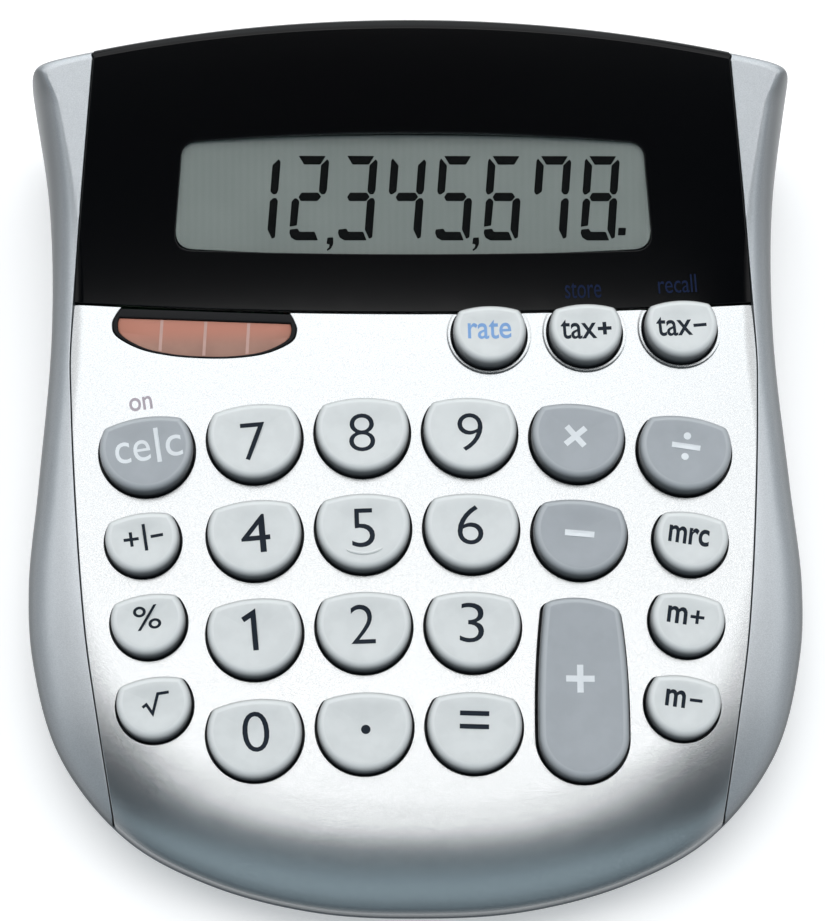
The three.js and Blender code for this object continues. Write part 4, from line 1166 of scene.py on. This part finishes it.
def lowerCase():
    lip, low, gap = housing["lip"], housing["floorHeight"], case["gap"]
    halfX, halfY = case["hatchHalf"] + gap, case["hatchLength"] / 2 + gap
    middle, margin = (0, case["hatchY"]), case["seatMargin"]
    footHole = case["footRadius"] + gap + lip
    bounds = [(roundedRectangle(halfX + lip, halfY + lip, case["hatchCorner"] + lip, middle), False)]
    bounds += [(circle(spot, case["boreRadius"] + lip), False) for spot in screwSpots]
    bounds += [(circle(spot, footHole, case["roundSteps"]), False) for spot in footSpots]
    sheet = faceSheet(floorFace, bounds)
    sheetPiece("lower_case", sheet, housing["caseWall"], lip, "bottom_case", "case_plastic")
    level = (np.eye(3), np.zeros(3))
    radii = [case[size] for size in ("neckRadius", "boreRadius", "postRadius")]
    for number, (x, y) in enumerate(screwSpots, 1):
        top, seat, foot = partingAt(y) - gap / 2, partingAt(y) - case["screwGrip"], low + case["postRise"]
        neck, bore, outer = (circle((x, y), radius) for radius in radii)
        rings = [(neck, top), (outer, top), (outer, foot), (bore, foot), (bore, seat), (neck, seat)]
        points, faceList = stackedRings(rings + rings[:1])
        name = "screw_post_%d" % number
        addPiece(name, creasedMesh(name, points, faceList[:-2]), "bottom_case", "case_plastic")
    for number, spot in enumerate(footSpots, 1):
        disc = circle(spot, case["footRadius"] + margin, case["roundSteps"])
        rings = [(disc, low + housing["caseWall"] + case["seatRise"]), (disc, low + case["footRecess"])]
        ringedPiece("foot_seat_%d" % number, level, rings, "bottom_case", "case_plastic")
    roof = roundedRectangle(halfX + margin, halfY + margin, case["roofCorner"], middle)
    ceiling = low + case["hatchThickness"] + gap
    rings = [(roof, ceiling + case["roofThickness"]), (roof, ceiling)]
    ringedPiece("battery_roof", level, rings, "bottom_case", "case_plastic")


# A pan-head screw: its head has a cross recess, and its seat is the underside of the head
screwShape = {
    "head": 2.1, "height": 1.5, "lip": 0.5, "shank": 1.1, "bite": 2.7, "reach": 1.2, "slot": 0.28,
    "depth": 0.8, "underShare": 0.97, "tipShare": 0.1,
}


def crossOutline(reach, half):
    arm = np.array([[half, half], [reach, half], [reach, -half]])
    return np.vstack([arm @ turning(-quarter * math.pi / 2) for quarter in range(4)])


def screw(name, node, x, y, seat, length):
    head, height, lip, depth = (screwShape[size] for size in ("head", "height", "lip", "depth"))
    under = downwards(x, y, seat)
    outlines = [circle((0, 0), head - lip), crossOutline(screwShape["reach"], screwShape["slot"])]
    plate(name + "_head", under, height, outlines, depth, lip, node, "screw_steel")
    full, shank = circle((0, 0), head), circle((0, 0), screwShape["shank"])
    inner = full * screwShape["underShare"]
    rings = [
        (full * meshing["middleShare"], height - depth), (inner, height - depth), (inner, 0), (shank, 0),
        (shank, screwShape["shank"] - length), (shank * screwShape["tipShare"], -length),
    ]
    ringedPiece(name + "_shank", under, rings, node, "screw_steel")


def underside():
    grip = case["screwGrip"]
    for number, (x, y) in enumerate(screwSpots, 1):
        node = "case_screw_%d" % number
        screw("fixing_%d" % number, node, x, y, partingAt(y) - grip, grip + screwShape["bite"])
    low, thick, lip = housing["floorHeight"], case["hatchThickness"], case["hatchLip"]
    screw("cover_fixing", "battery_cover_screw", 0, hatchScrewY, low + thick / 2, case["hatchScrewLength"])
    for number, (x, y) in enumerate(footSpots, 1):
        outline = circle((0, 0), case["footRadius"], case["roundSteps"])
        gap, top = case["footGap"], low + case["footRecess"] - case["footGap"]
        rings = [(outline * share, top) for share in case["footShares"]]
        rings += roundedRings(outline, case["footInset"], case["footDrop"], top, case["footSteps"])
        rings += [(outline, gap), (outline * meshing["middleShare"], gap)]
        ringedPiece("pad_%d" % number, downwards(x, y, top), rings, "foot_%d" % number, "foot_rubber")
    outlines = [
        roundedRectangle(case["hatchHalf"] - lip, case["hatchLength"] / 2 - lip, case["hatchCorner"] - lip),
        circle((0, case["hatchY"] - hatchScrewY), case["boreRadius"] + lip),
    ]
    under, wall = downwards(0, case["hatchY"], low + thick), thick * case["hatchWallShare"]
    plate("hatch", under, thick, outlines, wall, lip, "battery_cover", "case_plastic")


# Display: clear window, glass and digits, in the panel's own frame
display = {
    "lensDrop": 0.2, "lensThickness": 0.5, "lensGap": 0.06, "lip": 0.05, "backCorner": 0.2, "cornerSteps": 3,
    "softShare": 0.45, "softSteps": 4,
    "glassHalf": 40.504, "glassStart": 6.603, "glassEnd": 32.405, "glassTop": -1.75, "backTop": -5.493,
    "backThickness": 1.1,
    "digitLeft": -28.14, "digitBottom": 12.28, "digitPitch": 7.9, "lean": 5, "softness": 0.16,
    "bars": {
        "a": [(4.06, 12.55), (4.8, 13.98), (0.39, 14), (1.38, 12.55)],
        "b": [(5.2, 7.65), (5.47, 8.25), (5.44, 13), (5.1, 13.45), (4.15, 12.45), (4.18, 8.1), (4.65, 7.6)],
        "c": [(5.1, 0.25), (5.6, 0.5), (5.55, 6.5), (5.25, 7), (4.75, 7), (4.24, 6.5), (4.26, 1.8)],
        "d": [
            (0, 1.8), (-0.05, 1.2), (0.3, 0.45), (1.1, 0), (4.72, 0), (4.05, 1.43), (1.6, 1.43), (1.25, 1.95),
        ],
        "e": [(1.08, 2.45), (1.15, 6.45), (0.7, 6.95), (0.3, 6.95), (-0.12, 6.4), (-0.1, 2.25)],
        "f": [(0.4, 7.6), (1.02, 8.1), (1, 12.4), (-0.05, 13.6), (-0.28, 13.2), (-0.26, 8.1), (0.05, 7.6)],
        "g": [(1.35, 6.5), (4.1, 6.5), (4.63, 7.2), (4.1, 7.9), (1.35, 7.9), (0.93, 7.15)],
        "point": [(6.05, 0.85), (7.3, 0.85), (7.3, 2.1), (6.05, 2.1)],
        "comma": [
            (6.2, 0.45), (6.15, -0.6), (6.65, -0.65), (6.6, -1.15), (6.22, -1.55), (6.4, -1.75),
            (6.95, -1.35), (7.25, -0.6), (7.15, 0.5),
        ],
    },
    "digits": ["bc", "abged", "abgcd", "fgbc", "afgcd", "afgecd", "fabc", "abcdefg"],
    "marks": {1: "comma", 4: "comma", 7: "point"},
}


def displayWindow():
    outline = inPlan(panelSeat, windowOutline(-display["lensGap"]))
    points, normals, triangles = faceSheet(displayFace, [(outline, True)])
    sheet = points - display["lensDrop"] * normals, normals, triangles
    top, backTop, thick = (display[size] for size in ("glassTop", "backTop", "backThickness"))
    lip = display["lip"]
    sheetPiece("window", sheet, display["lensThickness"], lip, "display_window", "clear_window")
    outline = windowOutline(-2 * display["lensGap"])
    plate("display_glass", panelSeat, top, [outline], top - backTop, lip, "lcd_panel", "lcd")
    low, high = display["glassStart"], display["glassEnd"]
    half, corner, steps = display["glassHalf"] - lip, display["backCorner"], display["cornerSteps"]
    outline = roundedRectangle(half, (high - low) / 2 - lip, corner, (0, (low + high) / 2), steps)
    plate("display_back_glass", panelSeat, backTop, [outline], thick, lip, "lcd_panel", "lcd")


# A closed outline with each corner turned into a short bend
def softened(points):
    points = np.array(points, dtype=float)
    bends = []
    for before, corner, after in zip(np.roll(points, 1, axis=0), points, np.roll(points, -1, axis=0)):
        ends = []
        for end in (before, after):
            share = min(display["softShare"], display["softness"] / np.linalg.norm(end - corner))
            ends.append(mixed(corner, end, share))
        bends.append(bezier(ends[0], corner, ends[1], display["softSteps"]))
    return np.vstack(bends)


# A way to lay flat shapes on a seat's plane, at a height
def laidOn(seat, height):
    return lambda places, lift: placed(seat, atHeight(places, height + lift))


def displayDigits():
    lean = np.array([[1, 0], [slope(display["lean"]), 1]])
    shapes = []
    for place, letters in enumerate(display["digits"]):
        corner = display["digitLeft"] + place * display["digitPitch"], display["digitBottom"]
        for name in [*letters, display["marks"].get(place)]:
            if name:
                shapes.append([softened(display["bars"][name]) @ lean + corner])
    printed("digits", shapes, laidOn(panelSeat, display["glassTop"]), "lcd", "segments")


# Thin closed solids over flat shapes, laid on a surface; each shape is a list of outlines
def printed(name, shapes, laid, slot, finish, body="housing", spacing=None):
    points, faceList = [], []
    for outlines in shapes:
        places, triangles = filled(outlines, spacing)
        start, count = sum(len(group) for group in points), len(places)
        points += [laid(places, ink["lift"]), laid(places, -ink["sink"])]
        faceList += (start + triangles).tolist()
        faceList += (start + count + triangles[:, ::-1]).tolist()
        for a, b in borderEdges(triangles):
            faceList.append((start + b, start + a, start + count + a, start + count + b))
    addPiece(name, cleanMesh(name, np.vstack(points), faceList), None, slot, finish, body)


# Solar cell in its tray, under the edge of the panel
solar = {
    # The tray is a black holder; its back rim is made wide, partly a real frame and partly painted shade for
    # the recess under the panel's edge
    "tray": 0.12, "trayWall": 0.7, "trayFront": 0.2, "trayBack": 1.8, "traySink": 0.12, "trayRound": 0.08,
    "rimShares": [(0.06, 0.03), (0.15, 0), (0.85, 0), (0.95, 0.03)],
    "cellSink": 0.45, "cellRound": 0.12, "cellThickness": 1.1, "trayFloor": 0.9, "gap": 0.3, "fit": 0.05,
    "cellShares": [0.05, 0.6, 0.985], "strips": [-6.95, 0.15, 7.1], "stripWidth": 0.5, "stripFront": 0.2,
    "stripBack": 0.1, "edgePoints": 90, "backPoints": 10,
}


# The pocket's edge cut off at a line along its back, with evenly spaced points
def pocketRing(inward, front, back):
    outline = pocketOutline(inward, housing["overrun"], front)
    ahead = [step for step in range(len(outline)) if outline[step][1] < back]
    first, last = ahead[0], ahead[-1]
    ends = []
    for near, far in ((outline[first], outline[first - 1]), (outline[last], outline[last + 1])):
        ends.append(mixed(near, far, (back - near[1]) / (far[1] - near[1])))
    line = np.vstack([ends[0], outline[first:last + 1], ends[1]])
    along = np.concatenate([[0], np.cumsum(np.hypot(*np.diff(line, axis=0).T))])
    places = np.linspace(0, along[-1], solar["edgePoints"])
    curve = np.column_stack([np.interp(places, along, line[:, axis]) for axis in (0, 1)])
    backX = np.linspace(curve[-1][0], curve[0][0], solar["backPoints"] + 2)[1:-1]
    return np.vstack([curve, np.column_stack([backX, np.full(len(backX), curve[0][1])])])


def solarPanel():
    gap, sink, deep = solar["gap"], solar["traySink"], solar["cellSink"] + solar["cellThickness"]
    tray, fit, pin = solar["tray"], solar["fit"], meshing["middleShare"]
    # The wide black back rim stands partly for the shade under the panel's edge
    side, front, back = tray + solar["trayWall"], tray + solar["trayFront"], -solar["trayBack"]
    floorTop, floorLow = -deep - gap, -deep - gap - solar["trayFloor"]
    outer, inner = pocketRing(tray, tray, -gap), pocketRing(side, front, back)
    middle = inner.mean(axis=0)
    edge = -sink - solar["trayRound"]
    rings = [(mixed(middle, inner, pin), floorTop), (inner, floorTop), (inner, edge)]
    rings += [(mixed(inner, outer, share), -sink - drop) for share, drop in solar["rimShares"]]
    rings += [(outer, edge), (outer, floorLow), (mixed(middle, outer, pin), floorLow)]
    ringedPiece("solar_surround", pocketSeat, rings, "solar_tray", "dark_frame")
    outline = pocketRing(side + fit, front + fit, back - fit)
    middle = outline.mean(axis=0)
    top = -solar["cellSink"]
    rings = [(mixed(middle, outline, share), top) for share in solar["cellShares"]]
    rings += [(outline, top - solar["cellRound"]), (outline, -deep), (mixed(middle, outline, pin), -deep)]
    ringedPiece("solar_glass", pocketSeat, rings, "solar_cell", "solar")
    shapes = []
    for x in solar["strips"]:
        ends = np.array([x - solar["stripWidth"] / 2, x + solar["stripWidth"] / 2])
        fronts = np.interp(ends, *outline[:solar["edgePoints"]].T) + solar["stripFront"]
        backs = np.full(2, back - fit - solar["stripBack"])
        shapes.append([np.vstack([np.column_stack([ends, fronts]), np.column_stack([ends, backs])[::-1]])])
    printed("solar_lines", shapes, laidOn(pocketSeat, top), "solar", "solarLine")


# Printed marks stand this far out of their surface and reach this far into it
ink = {"lift": 0.025, "sink": 0.05, "spacing": 1.1, "textSteps": 5, "dotSteps": 28}


# The outlines of a word in Blender's own font, fitted to a box
def textShape(word, x, y, width, height, bold):
    curve = bpy.data.curves.new("word", "FONT")
    curve.body = word
    curve.resolution_u = ink["textSteps"]
    curve.offset = bold
    holder = bpy.data.objects.new("word", curve)
    mesh = bpy.data.meshes.new_from_object(holder)
    work = bmesh.new()
    work.from_mesh(mesh)
    bmesh.ops.remove_doubles(work, verts=work.verts, dist=1e-5)
    work.verts.index_update()
    nextTo = {}
    for edge in work.edges:
        if len(edge.link_faces) == 1:
            a, b = (vert.index for vert in edge.verts)
            nextTo.setdefault(a, []).append(b)
            nextTo.setdefault(b, []).append(a)
    places = {vert.index: (vert.co.x, vert.co.y) for vert in work.verts}
    work.free()
    bpy.data.objects.remove(holder)
    bpy.data.curves.remove(curve)
    bpy.data.meshes.remove(mesh)
    outlines = []
    while nextTo:
        here = next(iter(nextTo))
        loop = []
        while here in nextTo:
            loop.append(here)
            onward = [index for index in nextTo.pop(here) if index in nextTo]
            here = onward[0] if onward else None
        outlines.append(np.array([places[index] for index in loop]))
    every = np.vstack(outlines)
    low, high = every.min(axis=0), every.max(axis=0)
    return [(outline - (low + high) / 2) / (high - low) * [width, height] + (x, y) for outline in outlines]


def barShape(x, y, width, height):
    return [np.array([[-1, -1], [1, -1], [1, 1], [-1, 1]]) * [width / 2, height / 2] + (x, y)]


def crossShape(x, y, size, stroke, turned):
    return [crossOutline(size / 2, stroke / 2) @ turning(math.radians(turned)) + (x, y)]


def dotShape(x, y, radius):
    return [circle((x, y), radius, ink["dotSteps"])]


# A line of even width through points, with mitred corners
def strokeShape(points, width):
    points = np.array(points, dtype=float)
    along = unit(np.diff(points, axis=0))
    normals = np.column_stack([-along[:, 1], along[:, 0]])
    before, after = np.vstack([normals[:1], normals]), np.vstack([normals, normals[-1:]])
    mitre = unit(before + after)
    offset = mitre * (width / 2 / (mitre * before).sum(axis=1))[:, None]
    return [np.vstack([points - offset, (points + offset)[::-1]])]


shapeMakers = {
    "text": textShape, "bar": barShape, "cross": crossShape, "dot": dotShape, "stroke": strokeShape,
}


# Each legend's middle on its key, its ink, and its parts with places from that middle
legends = {
    "7": ((-0.2, -1.35), "ink", [["text", "7", 0, 0, 3.9, 6.3, -0.01]]),
    "8": ((-0.12, -0.96), "ink", [["text", "8", 0, 0, 4.15, 6.4, -0.012]]),
    "9": ((-0.08, -0.92), "ink", [["text", "9", 0, 0, 4.05, 6.4, -0.012]]),
    "4": ((0.14, -0.6), "ink", [["text", "4", 0, 0, 4.6, 6.3, 0.0]]),
    "5": ((-0.03, -0.73), "ink", [["text", "5", 0, 0, 3.65, 6.4, -0.008]]),
    "6": ((-0.23, -0.27), "ink", [["text", "6", 0, 0, 4.1, 6.5, -0.01]]),
    "1": ((-0.54, -0.22), "ink", [["stroke", [(-1.15, 1.9), (0.55, 2.85), (0.55, -3.2)], 0.85]]),
    "2": ((-0.21, -0.31), "ink", [["text", "2", 0, 0, 3.9, 6.4, -0.01]]),
    "3": ((-0.25, -0.09), "ink", [["text", "3", 0, 0, 3.8, 6.4, -0.01]]),
    "0": ((0.22, -0.2), "ink", [["text", "0", 0, 0, 4.2, 6.4, -0.008]]),
    "point": ((0.12, -0.9), "ink", [["dot", 0, 0, 0.74]]),
    "equals": ((-0.1, 0.56), "ink", [["bar", 0, 1.05, 4.6, 0.75], ["bar", 0, -1.05, 4.6, 0.75]]),
    "clear": ((0.48, -0.17), "whiteInk", [
        ["text", "ce", -2.65, -0.45, 5.6, 3.6, 0.0], ["bar", 1.4, 0.1, 0.72, 5.8],
        ["text", "c", 3.95, -0.45, 2.6, 3.6, 0.0],
    ]),
    "multiply": ((-0.42, -0.53), "whiteInk", [["cross", 0, 0, 4.3, 0.95, 45]]),
    "divide": ((0.02, -0.07), "whiteInk", [
        ["bar", 0, 0, 4.6, 0.9], ["dot", 0, 1.75, 0.6], ["dot", 0, -1.75, 0.6],
    ]),
    "minus": ((-0.14, -0.63), "whiteInk", [["bar", 0, 0, 4.7, 1.0]]),
    "plus": ((-0.52, 1.38), "whiteInk", [["cross", 0, 0, 4.5, 1.0, 0]]),
    "sign": ((0.27, -0.23), "ink", [
        ["cross", -2.0, 0, 2.4, 0.5, 0], ["bar", 0.2, 0, 0.5, 4.4], ["bar", 2.1, 0, 2.0, 0.5],
    ]),
    "percent": ((-0.05, 0.1), "ink", [["text", "%", 0, 0, 4.2, 3.9, 0.0]]),
    "root": ((0.39, -0.35), "ink", [
        ["stroke", [(-2.2, -0.35), (-1.55, 0.05), (-0.75, -1.55), (0.45, 1.5), (2.2, 1.5)], 0.45],
    ]),
    "memory_recall": ((-0.52, -0.15), "ink", [["text", "mrc", 0, 0, 6.5, 2.85, 0.02]]),
    "memory_add": ((-0.45, 0.18), "ink", [
        ["text", "m", -1.35, -0.1, 3.2, 2.75, 0.02], ["cross", 1.85, 0, 2.2, 0.5, 0],
    ]),
    "memory_subtract": ((-0.1, 0.18), "ink", [
        ["text", "m", -1.35, -0.1, 3.2, 2.75, 0.02], ["bar", 1.9, 0, 2.0, 0.5],
    ]),
    "rate": ((-0.1, -0.25), "blueInk", [["text", "rate", 0, 0, 7.0, 3.3, 0.01]]),
    "tax_add": ((-0.01, -0.54), "ink", [
        ["text", "tax", -1.25, 0, 5.8, 3.4, 0.01], ["cross", 2.95, 0, 2.2, 0.6, 0],
    ]),
    "tax_subtract": ((-0.07, -0.62), "ink", [
        ["text", "tax", -1.25, 0, 5.8, 3.4, 0.01], ["bar", 2.95, 0, 2.1, 0.55],
    ]),
}
# The same on the housing, with the face that it lies on and the angle that it is turned by
coverLegends = {
    "on": (keyFace, (-44.1, 9.24), 0.14, "mauveInk", [["text", "on", 0, 0, 3.7, 2.3, 0.012]]),
    "store": (displayFace, (27.43, 28.3), 0.045, "navyInk", [["text", "store", 0, 0, 5.9, 2.5, 0.0]]),
    "recall": (displayFace, (42.83, 29.67), 0.07, "navyInk", [["text", "recall", 0, 0, 6.3, 2.85, 0.0]]),
}


def legend(name, parts, laid, slot, finish, body="housing"):
    shapes = [shapeMakers[kind](*values) for kind, *values in parts]
    printed("legend_" + name, shapes, laid, slot, finish, body, ink["spacing"])


def keyLegend(name, centre, finish, parts):
    seat, outline, slot = keys[name]

    def laid(places, lift):
        places = places + centre
        return placed(seat, np.column_stack([places, topHeight(outline, places) + lift]))

    legend(name, parts, laid, slot, finish, "key_" + name + "_cap")


def coverLegend(name, face, centre, turned, finish, parts):
    normal = normalAt(face, *(np.array([value]) for value in (*centre, heightAt(face, *centre))))[0]

    def laid(places, lift):
        x, y = (places @ turning(turned) + centre).T
        return np.column_stack([x, y, heightAt(face, x, y)]) + lift * normal

    legend(name, parts, laid, "silver_cover" if face is keyFace else "gloss_black", finish)


# The raised mark under the 5, which a finger finds
nib = {
    "half": 2.9, "sag": 0.8, "centre": (0, -5.0), "radius": 0.26, "steps": 24, "sides": 10, "flatShare": 0.8,
    "fullness": 6, "endShare": 0.04, "creaseAngle": 60,
}


def fingerMark():
    seat, outline, slot = keys["5"]
    x = np.linspace(-1, 1, nib["steps"] + 1)
    line = np.column_stack([x * nib["half"], nib["sag"] * x * x]) + nib["centre"]
    along = unit(np.gradient(line, axis=0))
    height = topHeight(outline, line)
    sides = nib["sides"]
    angles = np.linspace(0, 2 * math.pi, sides, endpoint=False)
    rings = []
    for place, way, z, share in zip(line, along, height, x):
        size = nib["radius"] * math.sqrt(max(1 - abs(share) ** nib["fullness"], nib["endShare"]))
        ring = np.outer(size * np.cos(angles), [-way[1], way[0]]) + place
        rings.append(np.column_stack([ring, z + nib["flatShare"] * size * np.sin(angles)]))
    points, faceList = np.vstack(rings), []
    for start in range(0, len(points) - sides, sides):
        for step in range(sides):
            here, after = start + step, start + (step + 1) % sides
            faceList.append((here, after, sides + after, sides + here))
    faceList += [tuple(range(sides - 1, -1, -1)), tuple(range(len(points) - sides, len(points)))]
    mesh = creasedMesh("finger_mark", placed(seat, points), faceList, nib["creaseAngle"])
    addPiece("finger_mark", mesh, None, slot, body="key_5_cap")


# Inner pieces keep their CAD shape and get a finish of their own
inside = {
    "lcd_frame": "dark", "lcd_ribbon": "ribbon", "rubber_keypad": "keypad", "circuit_board": "board",
    "chip_blob": "resin", "button_cell": "steel",
    "battery_contact_upper": "brass", "battery_contact_side": "brass",
}
inside.update({"board_screw_%d" % number: "steel" for number in range(1, 5)})

topCover()
displayBezel()
cheek("left_side", -1)
cheek("right_side", 1)
lowerCase()
print("housing made")
underside()
print("underside made")
for name, key in keys.items():
    keyCap(name, *key)
for name, drawn in legends.items():
    keyLegend(name, *drawn)
for name, drawn in coverLegends.items():
    coverLegend(name, *drawn)
fingerMark()
print("keys and legends made")
displayWindow()
displayDigits()
solarPanel()
print("display and solar cell made")
for node, finish in inside.items():
    for place in bpy.data.objects[node].material_slots:
        place.material = materials[finish]

# The photograph's camera
view = {
    "width": 827, "height": 921, "tilt": 24, "azimuth": -4.605, "roll": -4.138,
    "distance": 724.134, "target": (-0.466, -1.2, 20), "lens": 177.24, "sensor": 36, "clip": (0.01, 50),
}


def photoCamera():
    tilt, azimuth, roll = (math.radians(view[name]) for name in ("tilt", "azimuth", "roll"))
    back = Vector((
        math.sin(azimuth) * math.sin(tilt), -math.cos(azimuth) * math.sin(tilt), math.cos(tilt),
    ))
    right = Vector((math.cos(azimuth), math.sin(azimuth), 0))
    up = back.cross(right)
    across = right * math.cos(roll) - up * math.sin(roll)
    upward = right * math.sin(roll) + up * math.cos(roll)
    data = bpy.data.cameras.new("photo_camera")
    data.lens = view["lens"]
    data.sensor_width = view["sensor"]
    data.clip_start, data.clip_end = view["clip"]
    camera = addObject("photo_camera", data)
    place = (Vector(view["target"]) + back * view["distance"]) * mm
    turned = Matrix((across, upward, back)).transposed().to_4x4()
    camera.matrix_world = Matrix.Translation(place) @ turned
    bpy.context.scene.camera = camera


# Lamps are areas with one radiance each; the room is pale at the horizon, blue grey above and dark overhead
studio = {
    "lamps": {
        "overhead": {"centre": (0, 1.7, 3), "target": (0, 1.7, 0), "size": (2.1, 3.0), "radiance": 1.7},
        "nearStrip": {"centre": (0, 0.085, 3), "target": (0, 0.085, 0), "size": (2.1, 0.23), "radiance": 3.0},
        "farStrip": {"centre": (0, -0.42, 3), "target": (0, -0.42, 0), "size": (1.5, 0.24), "radiance": 3.6},
        "left": {"centre": (-2.85, 1.18, 3), "target": (-2.85, 1.18, 0), "size": (3.6, 2.8), "radiance": 1.2},
        "right": {"centre": (2.85, 1.18, 3), "target": (2.85, 1.18, 0), "size": (3.6, 2.8), "radiance": 1.2},
        "rear": {"centre": (0, 3.2, 1.7), "target": (0, 0, 0), "size": (5, 1.6), "radiance": 1.7},
    },
    "room": [
        (0.5, (1, 1, 1)), (0.535, (0.75, 0.78, 0.8)), (0.604, (0.2, 0.26, 0.295)),
        (0.679, (0.16, 0.22, 0.26)), (0.821, (0.31, 0.4, 0.45)), (0.919, (0.45, 0.58, 0.65)),
        (0.957, (0.18, 0.25, 0.295)), (0.976, (0.06, 0.09, 0.11)), (1, (0.03, 0.035, 0.04)),
    ],
    "corner": (0.012, 0.02, 0.03), "cornerWidth": (0.12, 0.38), "cornerEnd": (0.6, 0.8),
    "cornerDepth": (-0.46, -0.34), "cornerHeight": (0.5, 0.7),
    "beside": (0.7, 0.74, 0.78), "besideWidth": (0.6, 0.9), "besideHeight": (0, 0.1),
    "floorColour": (0.9, 0.88, 0.87), "floorGlow": 0.35, "floorSize": 6,
}


def areaLight(name, centre, target, size, radiance):
    data = bpy.data.lights.new(name, "AREA")
    data.shape = "RECTANGLE"
    data.size, data.size_y = size
    data.energy = radiance * math.pi * size[0] * size[1]
    light = addObject(name, data)
    light.location = centre
    light.rotation_euler = (Vector(target) - Vector(centre)).to_track_quat("-Z", "Y").to_euler()


def studioLight():
    for name, lamp in studio["lamps"].items():
        areaLight(name, **lamp)
    world = bpy.data.worlds.new("studio")
    bpy.context.scene.world = world
    world.use_nodes = True
    tree = world.node_tree
    nodes = Nodes(tree)
    across, forward, height = (nodes.axis(name, "Generated") for name in "XYZ")
    sideways = abs(across)
    room = nodes.node("ShaderNodeValToRGB", {"stops": studio["room"]}, {"Fac": height * 0.5 + 0.5})
    corner = sideways.between(*studio["cornerWidth"]) * (1 - sideways.between(*studio["cornerEnd"]))
    corner = corner * forward.between(*studio["cornerDepth"]) * height.between(*studio["cornerHeight"])
    beside = sideways.between(*studio["besideWidth"]) * height.between(*studio["besideHeight"])
    room = nodes.blend(corner, room, studio["corner"])
    room = nodes.blend(beside, room, studio["beside"])
    feed(tree, tree.nodes["Background"].inputs["Color"], room)


# The floor is pale, and rays that see it as a background get a little more, so it reads as white
def studioFloor():
    half = studio["floorSize"] / 2
    mesh = bpy.data.meshes.new("floor")
    corners = [(-half, -half, 0), (half, -half, 0), (half, half, 0), (-half, half, 0)]
    mesh.from_pydata(corners, [], [(0, 1, 2, 3)])
    shader = Shader("floor", {"Base Color": studio["floorColour"], "Roughness": 0.9, "Emission Strength": 1})
    kinds = ("Is Camera Ray", "Is Glossy Ray", "Is Transmission Ray")
    seen = [shader.node("ShaderNodeLightPath", {}, {}, kind) for kind in kinds]
    shader.set("Emission Color", (seen[0] + seen[1] + seen[2]).atMost(1) * studio["floorGlow"])
    mesh.materials.append(shader.material)
    addObject("floor", mesh)


photoCamera()
studioLight()
studioFloor()
bpy.context.scene.view_settings.view_transform = "Standard"
